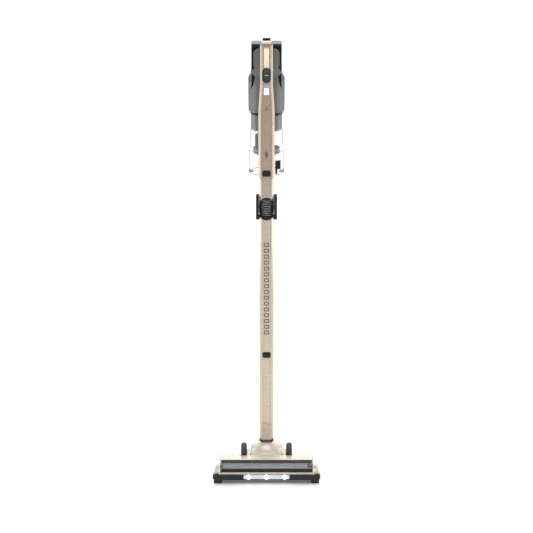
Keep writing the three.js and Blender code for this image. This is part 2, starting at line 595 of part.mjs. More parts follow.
// Stations of the spine: height, width, front, split between its halves.
const stations = [
  [0, spineWidth, -22, 0], [158, spineWidth, -22, 0], [186, 37.5, -22, -1], [212, 34, -22, -4],
  [236, spine.gripWidth, -21.4, -6.5],
  [262, spine.gripWidth, -18.6, -4], [288, spine.gripWidth, -14.2, 0.4],
  [312, spine.gripWidth, -9, 5.6], [325, spine.gripWidth, -5.4, 9.2],
  [332, 29, -1, 12], [spine.height, 24, 4, 14],
];
function frontHalf([h, width, front, split], inset) {
  const w = width / 2 - inset;
  const f = front + inset;
  const [cx, cy] = [tube.chamferX - inset * 0.4, Math.min(tube.chamferY,
    (split - front) * 0.62) - inset * 0.4];
  return [[w, split + (inset > 0 ? 1 : 0)], [-w, split + (inset > 0 ? 1 : 0)], [-w, f + cy],
    [-w + cx * 0.45, f + cy * 0.42], [-w + cx, f], [w - cx, f],
    [w - cx * 0.45, f + cy * 0.42], [w, f + cy]].map(([x, y]) => new THREE.Vector3(x, y, h));
}
const spineOuter = loft(stations.map((s) => frontHalf(s, 0)));
const innerStations = stations.slice(0, -1).map((s, i, all) =>
  (i === 0 ? [-1, ...s.slice(1)] : i === all.length - 1 ? [s[0] - 1, ...s.slice(1)] : s));
const spineInner = loft(innerStations.map((s) => frontHalf(s, spine.wall)));
const rockerFrame = new THREE.Matrix4().makeRotationX(-rocker.tilt).setPosition(0, -19.2,
  rocker.middle);
const pill = (grow, from, to) => {
  const [w, h] = [rocker.width / 2 + grow, rocker.height / 2 + grow];
  return prism(rectangle(-w, -h, w, h, w), "y", from, to, 5).applyMatrix4(rockerFrame);
};
const displayCut = (grow, y0, y1) => prism(rectangle(-display.width / 2 - grow,
  display.middle - display.height / 2 - grow,
  display.width / 2 + grow, display.middle + display.height / 2 + grow, 2.5), "y", y0, y1, 2);
add(handheld, "spine_cover", cut(spineOuter, spineInner, pill(gap, -8, 8), displayCut(gap, -30, -12),
  buttonCut(releaseMiddle)), gold);

// The rear half of the spine is the air duct up to the bin's inlet; above it the grip's back half
// carries the fingers.
const rearOutline = (inset) => outline([point(-spineWidth / 2 + inset, gap),
  point(spineWidth / 2 - inset, gap),
  point(spineWidth / 2 - inset, 14), point(spineWidth / 2 - 7 - inset * 0.4, spine.rearDepth - inset),
  point(-spineWidth / 2 + 7 + inset * 0.4, spine.rearDepth - inset),
  point(-spineWidth / 2 + inset, 14)], 2);
const inletPassage = block(inletLeft + inlet.wall, inlet.right - inlet.wall, 10, bin.axis - 12,
  inlet.bottom + inlet.wall, inlet.top - inlet.wall);
const rearDuct = cut(prism(rearOutline(0), "z", 0, spine.ductTop, 2),
  prism(outline([point(-spineWidth / 2 + 2.2, -5), point(spineWidth / 2 - 2.2, -5),
  point(spineWidth / 2 - 2.2, 13.4),
    point(spineWidth / 2 - 8, spine.rearDepth - 2.2), point(-spineWidth / 2 + 8,
    spine.rearDepth - 2.2), point(-spineWidth / 2 + 2.2, 13.4)], 2),
  "z", -1, spine.ductTop - 3, 2), inletPassage);
add(handheld, "spine_rear_shell", rearDuct, graphite);

const gripStations = stations.slice(2, -2).map(([h, width, front, split]) =>
  [h + (h < 200 ? 0.4 : 0), width, split + gap, front + spine.gripDepth]);
const gripBack = ([h, width, front, back]) => {
  const [w, c] = [width / 2, 9];
  return [[-w, front], [w, front], [w, back - c], [w - 3, back - 3], [w - 8, back], [-w + 8, back],
    [-w + 3, back - 3], [-w, back - c]]
    .map(([x, y]) => new THREE.Vector3(x, y, h));
};
add(handheld, "grip_back", loft(gripStations.map(gripBack)), black);

add(handheld, "power_bezel", cut(pill(0, -2.6, 4), pill(-rocker.bezel, -6, 6)), black);
add(handheld, "power_rocker", pill(-rocker.bezel - 0.5, -2.2, 3), black);
add(handheld, "display_lens", displayCut(0, -22.3, -22.3 + display.thickness), lampWhite);
add(handheld, "handheld_release_button", buttonBlock(releaseMiddle), black);

// Motor housing: a rounded square in plan, cut away in front for the fingers, with the battery bay
// open at the top.
const housingPlan = (inset) => {
  const r = housing.halfWidth - inset;
  return rectangle(-r, bin.axis - r, r, bin.axis + r, housing.corner - inset);
};
const shoulderCut = sides.map(([, side]) => {
  const [a, b] = [side * (housing.halfWidth + 1), side * housing.topHalfWidth];
  const shape = outline(side > 0
    ? [point(a, housing.shoulder), point(a, housing.top + 60), point(b, housing.top + 60),
      point(b, housing.top)]
    : [point(b, housing.top), point(b, housing.top + 60), point(a, housing.top + 60),
      point(a, housing.shoulder)], 0);
  return prism(shape, "y", 0, 200);
});
const fingerCut = (back) => prism(outline([point(10, spine.ductTop + 1),
  point(spine.rearDepth + 0.2 + back, spine.ductTop + 1), point(spine.rearDepth + 0.3 + back, 160),
  point(batteryFront - 3.6 + back, 240), point(batteryFront - 3.6 + back, 400), point(10, 400)], 0),
  "x", -60, 60);
const bay = block(-battery.width / 2 - slideGap, battery.width / 2 + slideGap, batteryFront - gap,
  batteryFront + battery.depth + gap,
  battery.bottom - gap, 400);
const bayWall = prism(rectangle(-32, housing.top - 12, 32, battery.top - 2, 14), "y",
  batteryFront - 3.6, batteryFront - slideGap, 4);
const taper = sides.map(([, side]) => {
  const [a, b] = [side * (housing.halfWidth + 1), side * (housing.halfWidth - 4)];
  const shape = outline(side > 0 ? [point(b, housing.bottom - 1), point(a, housing.bottom - 1),
    point(a, housing.bottom + 18)]
    : [point(a, housing.bottom + 18), point(a, housing.bottom - 1), point(b, housing.bottom - 1)], 0);
  return prism(shape, "y", 0, 200);
});
const vents = [0, 1, 2, 3, 4].map((i) => block(-26, 26, bin.axis + 30, bin.axis + 60,
  housing.bottom + 12 + i * 7, housing.bottom + 15 + i * 7));
const housingBody = cut(prism(housingPlan(0), "z", housing.bottom, housing.top, 5), ...shoulderCut,
  fingerCut(0),
  cut(prism(housingPlan(housing.wall), "z", housing.bottom - 1, spine.ductTop - 2, 5), fingerCut(2.9)),
  common(prism(housingPlan(housing.wall), "z", housing.bottom, housing.floor, 5),
  block(-60, 60, batteryFront - 8, 200, 0, 400)), ...taper, ...vents);
const gripBridge = cut(block(-13, 13, 20, batteryFront - 2, battery.top - 18, battery.top - 4),
  loft(gripStations.map(([h, w, f, b]) => gripBack([h, w + 2 * gap, f, b + gap]))),
  loft(stations.map((s) => frontHalf(s, 0))));
add(handheld, "motor_housing", cut(join(housingBody, bayWall, gripBridge), bay), graphite);

add(handheld, "housing_ring", ring(bin.neck - 4.5, bin.neck + 2.5, bin.top + gap, housing.bottom - gap,
  "z", 32), black, 0, bin.axis, 0);
add(handheld, "fan_motor", ring(4.5, 22, 174, 197, "z", 24), steel, 0, bin.axis, 0);
add(handheld, "exhaust_filter", ring(32.5, 40, 156, 163, "z", 24), filterWhite, 0, bin.axis, 0);
const blades = Array.from({ length: 8 }, (_, i) => block(5, 28, -0.8, 0.8, 159,
  166).rotateZ((i / 8) * Math.PI * 2));
add(handheld, "fan_impeller", join(disc(29, 165.5, 168, "z", 24), disc(7, 159, 166, "z", 16),
  disc(4, 167, 196, "z", 16), ...blades),
  silver, 0, bin.axis, 0);

const ductBlock = block(inletLeft, inlet.right, 6, 50, inlet.bottom, inlet.top);
const ductBevel = [inlet.bottom, inlet.top].map((h) => block(-6, 6, -60, 60, -6,
  6).rotateY(Math.PI / 4).translate(inletLeft, 30, h));
add(handheld, "inlet_duct", cut(ductBlock, prism(rearOutline(-gap), "z", 0, 200, 2),
  block(-spineWidth / 2 - gap, 30, -20, 14, 0, 200),
  block(-spineWidth / 2 - gap, 30, -20, spine.rearDepth + gap, 0, 200),
  disc(bin.upper + gap, 0, 200, "z", 36).translate(0, bin.axis, 0), inletPassage, ...ductBevel),
  graphite);

// ---------------------------------------- dust bin
const dustBin = groupAt(handheld, 0, bin.axis, 0);
const inner = bin.wall;
const binWall = turned([[bin.lower - inner, bin.bottom], [bin.lower, bin.bottom],
  [bin.lower, bin.flareBottom], [bin.upper, bin.flareTop],
  [bin.upper, bin.collar], [bin.upper - inner, bin.collar], [bin.upper - inner, bin.flareTop - 1],
  [bin.lower - inner, bin.flareBottom - 1],
  [bin.lower - inner, bin.bottom]], "z", 36);
const hingeY = bin.lower + door.hingeBehind;
const hingeEars = sides.flatMap(([, side]) => {
  const [x0, x1] = between(side, door.lug / 2 + gap, door.lug / 2 + gap + door.ear);
  return [block(x0, x1, bin.lower - 3, hingeY + 3, bin.bottom, bin.bottom + 8),
    block(x0, x1, bin.lower + 2 * gap, hingeY + 3, bin.bottom - 5, bin.bottom + 1)];
});
const hingeBore = disc(door.pin + gap, -20, 20, "x", 12).translate(0, hingeY, bin.bottom - 1);
const hingePin = disc(door.pin, -door.lug / 2 - door.ear, door.lug / 2 + door.ear, "x",
  12).translate(0, hingeY, bin.bottom - 1);
add(dustBin, "bin_shell", cut(join(binWall, ...hingeEars, hingePin),
  inletPassage.clone().translate(0, -bin.axis, 0)), clear);
add(dustBin, "bin_collar", ring(bin.neck - inner - 1.1, bin.neck, bin.collar + gap, bin.top, "z",
  36), silver);
add(dustBin, "separator_can", turned([[16, 110], [31.5, 110], [31.5, 144], [29.5, 144], [29.5, 112],
  [16, 112], [16, 110]], "z", 32), silver);
const pleats = 22;
const star = outline(Array.from({ length: pleats * 2 }, (_, i) => {
  const [r, a] = [i % 2 ? 28.6 : 22, (i / (pleats * 2)) * Math.PI * 2];
  return point(r * Math.cos(a), r * Math.sin(a));
}), 0);
star.holes.push(new THREE.Path(circle(15).getPoints(5).reverse()));
add(dustBin, "pleated_filter", prism(star, "z", 113, 142), filterWhite);
const cone = turned([[13.5, 47], [15, 47], [19.5, 109.5], [18, 109.5], [13.5, 47]], "z", 24);
const skirt = turned([[13.8, 47], [31, 45], [33.5, 47], [33.5, 59], [31.8, 60], [31.8, 49], [14.2, 51],
  [13.8, 47]], "z", 24);
add(dustBin, "cyclone_cone", join(cone, skirt), silver);

const doorGroup = groupAt(dustBin, 0, hingeY, bin.bottom - 1);
const onDoor = (geometry) => geometry.translate(0, -hingeY, -bin.bottom + 1);
const doorTop = bin.bottom - gap;
const doorDish = turned([[0, doorTop - door.thickness + 2.5],
  [bin.lower - door.taper - 3, doorTop - door.thickness], [bin.lower - door.taper,
    doorTop - door.thickness],
  [bin.lower, doorTop - 1.5], [bin.lower, doorTop], [0, doorTop]], "z", 36);
const doorLug = block(-door.lug / 2, door.lug / 2, bin.lower - 2, hingeY + 3, doorTop - 4, doorTop);
add(doorGroup, "bin_door", onDoor(cut(join(doorDish, doorLug), hingeBore)), clear);
add(dustBin, "bin_latch", cut(join(block(21.5, 35, -43.5, -26, 14, 34),
  block(21.5, 27, -43.5, -34, 2, 16)),
  disc(bin.lower + gap, 0, 60, "z", 36)), black);

// ---------------------------------------- battery pack
const pack = groupAt(handheld, 0, batteryFront, 0);
const [bw, bd] = [battery.width / 2, battery.depth];
add(pack, "battery_case", cut(prism(rectangle(-bw, 0, bw, bd, 5), "z", battery.bottom, battery.top, 3),
  prism(rectangle(-bw + battery.wall, battery.wall, bw - battery.wall, bd - battery.wall, 4), "z",
  battery.bottom + battery.wall, battery.top + 1, 3)), black);
const latchWidth = 20;
const latchPocket = block(-latchWidth / 2 - slideGap, latchWidth / 2 + slideGap, bd - 16 - slideGap,
  bd + 1, battery.top + 1, battery.top + 20);
add(pack, "battery_end_cap", cut(prism(rectangle(-bw, 0, bw, bd, 5), "z", battery.top + gap,
  battery.top + battery.capHeight, 3), latchPocket), silver);
add(pack, "battery_latch", prism(rectangle(bd - 16, battery.top + 3.6, bd - 0.4,
  battery.top + battery.latchTop, 2.5), "x", -latchWidth / 2, latchWidth / 2, 2), black);
const cellRadius = 9.2;
const cells = [-1, 0, 1].flatMap((i) => [-1, 1].map((j) =>
  disc(cellRadius, battery.bottom + 14, battery.bottom + 79, "z", 10)
  .translate(i * 19.6, bd / 2 + j * 12, 0)));
const holderHalf = bw - battery.wall - battery.holderGap;
const holders = [battery.bottom + 16, battery.bottom + 73].map((h) =>
  block(-holderHalf, holderHalf, 3, bd - 3, h, h + 4));
add(pack, "battery_cells", join(...cells, ...holders), copper);

// ---------------------------------------- place the origin under the middle of the whole vacuum
const extent = new THREE.Box3().setFromObject(vacuum, true);
vacuum.position.y = -(extent.min.y + extent.max.y) / 2;
vacuum.updateMatrixWorld(true);

export default vacuum;
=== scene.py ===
import json
import math
import bmesh
import bpy
from mathutils import Matrix, Vector


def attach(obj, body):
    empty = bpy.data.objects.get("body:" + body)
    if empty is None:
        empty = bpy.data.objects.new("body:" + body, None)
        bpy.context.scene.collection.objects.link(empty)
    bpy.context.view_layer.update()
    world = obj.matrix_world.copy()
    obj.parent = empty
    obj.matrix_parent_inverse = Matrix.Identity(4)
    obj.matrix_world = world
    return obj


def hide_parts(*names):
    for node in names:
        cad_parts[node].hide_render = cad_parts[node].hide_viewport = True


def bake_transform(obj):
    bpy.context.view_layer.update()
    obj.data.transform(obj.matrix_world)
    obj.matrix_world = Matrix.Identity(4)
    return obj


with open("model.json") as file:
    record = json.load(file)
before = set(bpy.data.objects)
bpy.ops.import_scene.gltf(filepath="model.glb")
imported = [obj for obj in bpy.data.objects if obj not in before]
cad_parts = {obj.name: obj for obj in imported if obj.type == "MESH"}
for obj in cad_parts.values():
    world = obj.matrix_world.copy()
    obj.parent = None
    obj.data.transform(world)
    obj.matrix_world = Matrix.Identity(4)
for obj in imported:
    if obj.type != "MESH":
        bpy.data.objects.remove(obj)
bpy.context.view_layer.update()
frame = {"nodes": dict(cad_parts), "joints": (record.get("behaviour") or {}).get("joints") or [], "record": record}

bodies = frame["record"]["behaviour"]["bodies"]
bodyOf = {node: body for body, members in bodies.items() for node in members}
jointOf = {joint["name"]: joint for joint in frame["joints"]}

# two places to model in, both in millimetres: the floor head's and the leaning stick's
# the stick's heights start at the wheels' axle
axle = Vector(jointOf["neck_pitch"]["pos_m"])
stickUp = Vector(jointOf["tube_detach"]["axis"]).normalized()
stickBack = stickUp.cross(Vector((1, 0, 0)))
headPlace = Matrix.Translation((0, axle.y, 0)) @ Matrix.Scale(0.001, 4)
stickPlace = Matrix.Translation(axle) @ Matrix(((1, stickBack.x, stickUp.x), (0, stickBack.y, stickUp.y),
                                                (0, stickBack.z, stickUp.z))).to_4x4() @ Matrix.Scale(0.001, 4)
wheelHeight = axle.z * 1000


def nodeBox(node, place=stickPlace):
    # lowest and highest corner of a CAD node, in millimetres in one of the two places
    back = place.inverted()
    spots = [back @ vertex.co for vertex in frame["nodes"][node].data.vertices]
    return (Vector([min(s[i] for s in spots) for i in range(3)]),
            Vector([max(s[i] for s in spots) for i in range(3)]))


print("frame loaded:", len(frame["nodes"]), "nodes")


class Signal:
    # a shader socket that Python arithmetic can be done on
    def __init__(self, tree, socket):
        self.tree, self.socket = tree, socket

    def calc(self, operation, *values):
        node = self.tree.nodes.new("ShaderNodeMath")
        node.operation = operation
        for place, value in enumerate(values):
            plug(self.tree, node.inputs[place], value)
        return Signal(self.tree, node.outputs[0])

    def __add__(self, other):
        return self.calc("ADD", self, other)

    def __radd__(self, other):
        return self.calc("ADD", other, self)

    def __sub__(self, other):
        return self.calc("SUBTRACT", self, other)

    def __rsub__(self, other):
        return self.calc("SUBTRACT", other, self)

    def __mul__(self, other):
        return self.calc("MULTIPLY", self, other)

    def __rmul__(self, other):
        return self.calc("MULTIPLY", other, self)

    def __gt__(self, other):
        return self.calc("GREATER_THAN", self, other)


def plug(tree, socket, value):
    if isinstance(value, Signal):
        tree.links.new(value.socket, socket)
    elif isinstance(value, (tuple, list)) and len(value) == 3 and len(getattr(socket,
            "default_value", ())) == 4:
        socket.default_value = (*value, 1)
    else:
        socket.default_value = value


class Finish:
    # one material, built from nodes
    def __init__(self, name):
        self.material = bpy.data.materials.new(name)
        self.material.use_nodes = True
        self.tree = self.material.node_tree
        self.shader = next(n for n in self.tree.nodes if n.type == "BSDF_PRINCIPLED")
        self.spots = Signal(self.tree, self.tree.nodes.new("ShaderNodeTexCoord").outputs["Object"])

    def node(self, kind, settings=None, output=0, **values):
        made = self.tree.nodes.new("ShaderNode" + kind)
        for key, value in (settings or {}).items():
            setattr(made, key, value)
        for key, value in values.items():
            # a socket is named in camelCase, or by its place as input0, input1
            socket = (made.inputs[int(key[5:])] if key.startswith("input")
                      else next(s for s in made.inputs if s.name.replace(" ", "").lower() == key.lower()
                                and s.enabled))
            plug(self.tree, socket, value)
        return Signal(self.tree, made.outputs[output])

    def part(self, axis):
        return self.node("SeparateXYZ", output="XYZ".index(axis), input0=self.spots)

    def stretched(self, scale):
        return self.node("Mapping", input0=self.spots, scale=scale)

    def noise(self, scale, detail=2.0, spots=None, roughness=0.5):
        return self.node("TexNoise", vector=spots or self.spots, scale=scale,
                         detail=detail, roughness=roughness)

    def between(self, amount, first, second):
        return self.node("Mix", {"data_type": "RGBA"}, output=2, input0=amount, input6=first, input7=second)

    def bump(self, height, strength, distance=0.0002):
        self.shade(normal=self.node("Bump", height=height, strength=strength, distance=distance))

    def shade(self, **values):
        for key, value in values.items():
            socket = next(s for s in self.shader.inputs if s.name.replace(" ", "").lower() == key.lower())
            plug(self.tree, socket, value)


def mapped(signal, low, high):
    # stretches a 0 to 1 signal to another range
    return signal * (high - low) + low


def lacquer(name, tone, shadowTone, roughness=0.26, metallic=0.55, coat=0.35):
    # metallic lacquer: fine flake, faint orange peel, light wear in the gloss
    made = Finish(name)
    cloud = made.noise(9, 3)
    flake = made.node("TexVoronoi", {"feature": "F1"}, output=1, vector=made.spots, scale=2600)
    flakeLight = made.node("SeparateColor", input0=flake)
    blend = made.between(cloud * 0.5 + flakeLight * 0.04 + 0.23, shadowTone, tone)
    made.shade(baseColor=blend, metallic=metallic,
               roughness=mapped(made.noise(34, 2), roughness - 0.02, roughness + 0.04),
               coatWeight=coat, coatRoughness=0.12)
    made.bump(made.noise(420, 1), 0.008)
    return made.material


def moulded(name, tone, roughness=0.5, grain=1400, depth=0.25, coat=0.0, variation=0.25, shine=0.5):
    # moulded plastic with a fine spark-eroded grain
    made = Finish(name)
    soft = made.noise(16, 3)
    light = tuple(min(1, c * (1 + variation) + 0.003) for c in tone)
    made.shade(baseColor=made.between(soft, tone, light),
               roughness=mapped(made.noise(60, 4), roughness - 0.07, roughness + 0.09),
               coatWeight=coat, coatRoughness=0.08, specularIorLevel=shine)
    made.bump(made.noise(grain, 2), depth)
    return made.material


def turnedMetal(name, tone, roughness=0.28, lines=(40, 40, 1800)):
    made = Finish(name)
    strokes = made.noise(1, 5, made.stretched(lines), 0.7)
    made.shade(baseColor=made.between(strokes, tuple(c * 0.82 for c in tone), tone), metallic=1.0,
               roughness=mapped(strokes, roughness - 0.1, roughness + 0.12))
    made.bump(strokes, 0.12)
    return made.material


champagne = lacquer("champagneLacquer", (0.44, 0.355, 0.268), (0.415, 0.332, 0.249))
headLacquer = lacquer("headLacquer", (0.62, 0.55, 0.46), (0.56, 0.485, 0.39), 0.26, 0.22, 0.4)
shellLacquer = lacquer("shellLacquer", (0.8, 0.725, 0.625), (0.745, 0.665, 0.555), 0.28, 0.16, 0.4)
graphite = lacquer("graphiteLacquer", (0.2, 0.2, 0.202), (0.155, 0.155, 0.157), 0.32, 0.4, 0.3)
blackPlastic = moulded("blackPlastic", (0.009, 0.009, 0.0095), 0.42, 1500, 0.3, shine=0.3)
blackGloss = moulded("blackGloss", (0.006, 0.006, 0.007), 0.12, 700, 0.02, 0.5)
greyPlastic = moulded("greyPlastic", (0.26, 0.27, 0.28), 0.45)
conePlastic = moulded("conePlastic", (0.2, 0.205, 0.21), 0.34)
bandGrey = moulded("bandGrey", (0.125, 0.125, 0.125), 0.5, 1600, 0.12, 0.0, 0.1)
caseBlack = moulded("caseBlack", (0.007, 0.007, 0.0075), 0.6, 1500, 0.3, shine=0.15)
windowStripBlack = moulded("windowStripBlack", (0.008, 0.008, 0.008), 0.75, 900, 0.1)
hubPlastic = moulded("hubPlastic", (0.055, 0.055, 0.058), 0.4)
bumperRubber = moulded("bumperRubber", (0.017, 0.019, 0.021), 0.55, 1100, 0.35, shine=0.3)
tyreRubber = moulded("tyreRubber", (0.03, 0.03, 0.031), 0.62, 900, 0.45, shine=0.35)
hoseRubber = moulded("hoseRubber", (0.012, 0.012, 0.013), 0.3, 900, 0.05, 0.5)
# light grey for the hose's rib crests: a painted highlight, standing in for the glints of the lamps along each rib
hoseCrestHighlight = moulded("hoseCrestHighlight", (0.42, 0.42, 0.42), 0.3, 900, 0.05, 0.4)
beltRubber = moulded("beltRubber", (0.015, 0.015, 0.015), 0.7)
steel = turnedMetal("turnedSteel", (0.62, 0.62, 0.63))


def bandedTrim(name):
    # bright band with painted shade down its left and right sides, where a turned band looks dark towards its
    # outline
    made = Finish(name)
    across, shadeEdge = made.part("X"), 0.0345
    # painted shade: dark and not metallic where x passes the shade edge, 34.5 mm out to either side
    dark = (across * across) > shadeEdge * shadeEdge
    strokes = made.noise(1, 4, made.stretched((30, 30, 700)), 0.6)
    bright = made.between(strokes, (0.142, 0.144, 0.144), (0.185, 0.187, 0.187))
    made.shade(baseColor=made.between(dark, bright, (0.03, 0.03, 0.032)),
               metallic=mapped(dark, 0.5, 0.0), roughness=mapped(strokes, 0.3, 0.42))
    return made.material


collarTrim = bandedTrim("collarTrim")
meshSteel = turnedMetal("perforatedSteel", (0.5, 0.51, 0.52), 0.3)


def anodised(name, tone):
    # anodised aluminium, drawn lengthwise: hairlines run up the tube
    made = Finish(name)
    strokes = made.noise(1, 4, made.stretched((2600, 2600, 14)), 0.65)
    cloud = made.noise(6, 2)
    made.shade(baseColor=made.between(strokes * 0.5 + cloud * 0.4, tuple(c * 0.94 for c in tone), tone),
               metallic=0.62,
               roughness=mapped(strokes, 0.23, 0.3), coatWeight=0.2, coatRoughness=0.15)
    return made.material


tubeMetal = anodised("champagneAnodised", (0.56, 0.475, 0.375))
upperMetal = anodised("upperAnodised", (0.48, 0.407, 0.32))


def clearResin(name, tint, cover, roughness=0.04, paintedShade=None):
    # clear moulding, mostly see-through, with a polished skin
    # paintedShade is the height where a painted shade starts and the height where it is full
    made = Finish(name)
    haze = made.noise(22, 3)
    tone, solidity = made.between(haze, tuple(c * 0.94 for c in tint),
                                  tint), mapped(haze, cover, cover * 1.25)
    if paintedShade:
        # painted shade: darker and less see-through towards the bottom
        depth = made.node("MapRange", input0=made.part("Z"), input1=paintedShade[0], input2=paintedShade[1])
        tone, solidity = made.between(depth, tone, (0.035, 0.035, 0.037)), solidity + depth * 0.62
    made.shade(baseColor=tone, roughness=mapped(haze, roughness, roughness * 2.2),
               alpha=solidity, coatWeight=1.0, coatRoughness=0.03,
               specularIorLevel=0.8)
    made.bump(made.noise(60, 2), 0.01)
    return made.material


clearPlastic = clearResin("clearPlastic", (0.6, 0.62, 0.64), 0.14)
# nearly opaque dark resin for the bin's edge pieces: painted shade for the dark outlines that clear walls show at
# their edges
paintedEdgeShade = clearResin("paintedEdgeShade", (0.1, 0.105, 0.11), 0.7)
# the window is darkened towards its lower edge: painted shade for the shadow on the roller's underside
windowPlastic = clearResin("windowPlastic", (0.62, 0.63, 0.65), 0.1, paintedShade=(0.040, 0.0365))


def pileCloth(name, tone):
    made = Finish(name)
    tufts = made.node("TexVoronoi", {"feature": "F1"}, vector=made.stretched((1100, 1100, 1100)), scale=1.0)
    cloud = made.noise(120, 4)
    made.shade(baseColor=made.between(cloud * 0.7 + tufts * 0.3, tuple(c * 0.55 for c in tone), tone),
               roughness=0.92,
               sheenWeight=0.35, sheenRoughness=0.5)
    made.bump(tufts, 0.8, 0.0006)
    return made.material


pileGrey = pileCloth("pileGrey", (0.72, 0.72, 0.73))
bristleDark = pileCloth("bristleDark", (0.05, 0.05, 0.055))
bristleLight = pileCloth("bristleLight", (0.62, 0.62, 0.64))


def pleatPaper(name):
    made = Finish(name)
    fibres = made.noise(500, 5)
    made.shade(baseColor=made.between(fibres, (0.62, 0.61, 0.57), (0.83, 0.82, 0.78)), roughness=0.88)
    made.bump(fibres, 0.4)
    return made.material


filterPaper = pleatPaper("filterPaper")


def glow(name, tone, strength, base):
    made = Finish(name)
    haze = made.noise(40, 2)
    made.shade(baseColor=made.between(haze, tuple(c * 0.92 for c in base), base),
               roughness=mapped(haze, 0.15, 0.3),
               emissionColor=made.between(haze, tuple(c * 0.94 for c in tone), tone),
               emissionStrength=strength)
    return made.material


lampGlow = glow("lampGlow", (1, 1, 1), 3.0, (0.9, 0.9, 0.9))
lampLens = glow("lampLens", (0.86, 0.9, 0.96), 0.2, (0.62, 0.64, 0.67))
displayLilac = glow("displayLilac", (0.44, 0.38, 0.62), 0.4, (0.3, 0.26, 0.44))
displayWhite = glow("displayWhite", (1, 1, 1), 1.4, (0.9, 0.9, 0.95))
markGrey = moulded("markGrey", (0.06, 0.052, 0.044), 0.5)
markBlack = moulded("markBlack", (0.02, 0.018, 0.016), 0.4)
markWhite = moulded("markWhite", (0.62, 0.62, 0.62), 0.4)


def sleeveWrap(name):
    # shrink sleeve on a cell, with its metal end bared
    made = Finish(name)
    creases = made.noise(1, 3, made.stretched((300, 300, 40)))
    made.shade(baseColor=made.between(creases, (0.06, 0.16, 0.32), (0.09, 0.22, 0.42)),
               roughness=mapped(creases, 0.25, 0.45))
    made.bump(creases, 0.3)
    return made.material


cellSleeve = sleeveWrap("cellSleeve")
print("finishes made:", len(bpy.data.materials))


def rawPiece(vertices, faces, name="raw"):
    mesh = bpy.data.meshes.new(name)
    mesh.from_pydata([tuple(v) for v in vertices], [], faces)
    made = bpy.data.objects.new(name, mesh)
    bpy.context.scene.collection.objects.link(made)
    tidyNormals(made)
    return made


def tidyNormals(piece):
    work = bmesh.new()
    work.from_mesh(piece.data)
    bmesh.ops.remove_doubles(work, verts=work.verts, dist=1e-5)
    bmesh.ops.recalc_face_normals(work, faces=work.faces)
    work.to_mesh(piece.data)
    work.free()


def drop(piece):
    mesh = piece.data
    bpy.data.objects.remove(piece)
    if mesh.users == 0:
        bpy.data.meshes.remove(mesh)


def settle(piece):
    # turns what the modifiers show into the piece's own mesh
    graph = bpy.context.evaluated_depsgraph_get()
    plain = bpy.data.meshes.new_from_object(piece.evaluated_get(graph), depsgraph=graph)
    old = piece.data
    piece.modifiers.clear()
    piece.data = plain
    if old.users == 0:
        bpy.data.meshes.remove(old)
    return piece


def combine(operation, target, tools):
    for tool in tools:
        change = target.modifiers.new("combine", "BOOLEAN")
        change.operation, change.object, change.solver = operation, tool, "EXACT"
        settle(target)
        drop(tool)
    return target


def carve(target, *tools):
    return combine("DIFFERENCE", target, tools)


def fuse(target, *tools):
    return combine("UNION", target, tools)


def overlapOf(target, *tools):
    return combine("INTERSECT", target, tools)


def arcCorner(corner, before, after, radius, steps):
    # points of a round fillet on one corner of an outline
    toBefore, toAfter = (before - corner), (after - corner)
    angle = toBefore.angle(toAfter)
    reach = min(radius / max(math.tan(angle / 2), 1e-4), toBefore.length * 0.49, toAfter.length * 0.49)
    if reach < 1e-4 or abs(angle - math.pi) < 0.01:
        return [corner]
    real = reach * math.tan(angle / 2)
    start, end = corner + toBefore.normalized() * reach, corner + toAfter.normalized() * reach
    inward = (toBefore.normalized() + toAfter.normalized()).normalized()
    centre = corner + inward * (real / math.sin(angle / 2))
    a, b = (start - centre), (end - centre)
    sweep = a.angle_signed(b) if a.length > 1e-6 and b.length > 1e-6 else 0
    return [centre + Matrix.Rotation(-sweep * i / steps, 2) @ a for i in range(steps + 1)]


def rounded(points, radius=0.0, steps=6):
    spots = [Vector(p) for p in points]
    if not isinstance(radius, (list, tuple)):
        radius = [radius] * len(spots)
    return [p for i, corner in enumerate(spots)
            for p in (arcCorner(corner, spots[i - 1], spots[(i + 1) % len(spots)], radius[i], steps)
                      if radius[i] > 0 else [corner])]


def rectangle(x0, y0, x1, y1, radius=0.0, steps=6):
    return rounded([(x0, y0), (x1, y0), (x1, y1), (x0, y1)], radius, steps)


def circlePoints(radius, x=0.0, y=0.0, steps=48):
    return [Vector((x + radius * math.cos(i / steps * math.tau),
                    y + radius * math.sin(i / steps * math.tau))) for i in range(steps)]


def sectorPoints(x, y, inner, outer, fromDegrees, toDegrees, steps=24):
    turn = [math.radians(fromDegrees + (toDegrees - fromDegrees) * i / steps) for i in range(steps + 1)]
    rim = [Vector((x + outer * math.cos(a), y + outer * math.sin(a))) for a in turn]
    hub = [Vector((x + inner * math.cos(a), y + inner * math.sin(a)))
           for a in reversed(turn)] if inner > 0 else [Vector((x, y))]
    return rim + hub


def prism(points, axis, start, end):
    # an outline pushed along an axis: drawn in (Y, Z) for x, in (X, Z) for y, in (X, Y) for z
    def spot(p, h):
        return {"x": (h, p[0], p[1]), "y": (p[0], h, p[1]), "z": (p[0], p[1], h)}[axis]

    n = len(points)
    corners = [spot(p, start) for p in points] + [spot(p, end) for p in points]
    faces = [tuple(range(n)), tuple(range(n, 2 * n))] + [(i, (i + 1) % n, n + (i + 1) % n, n + i)
            for i in range(n)]
    return rawPiece(corners, faces)


def block(x0, x1, y0, y1, z0, z1, radius=0.0):
    return prism(rectangle(x0, y0, x1, y1, radius), "z", z0, z1)


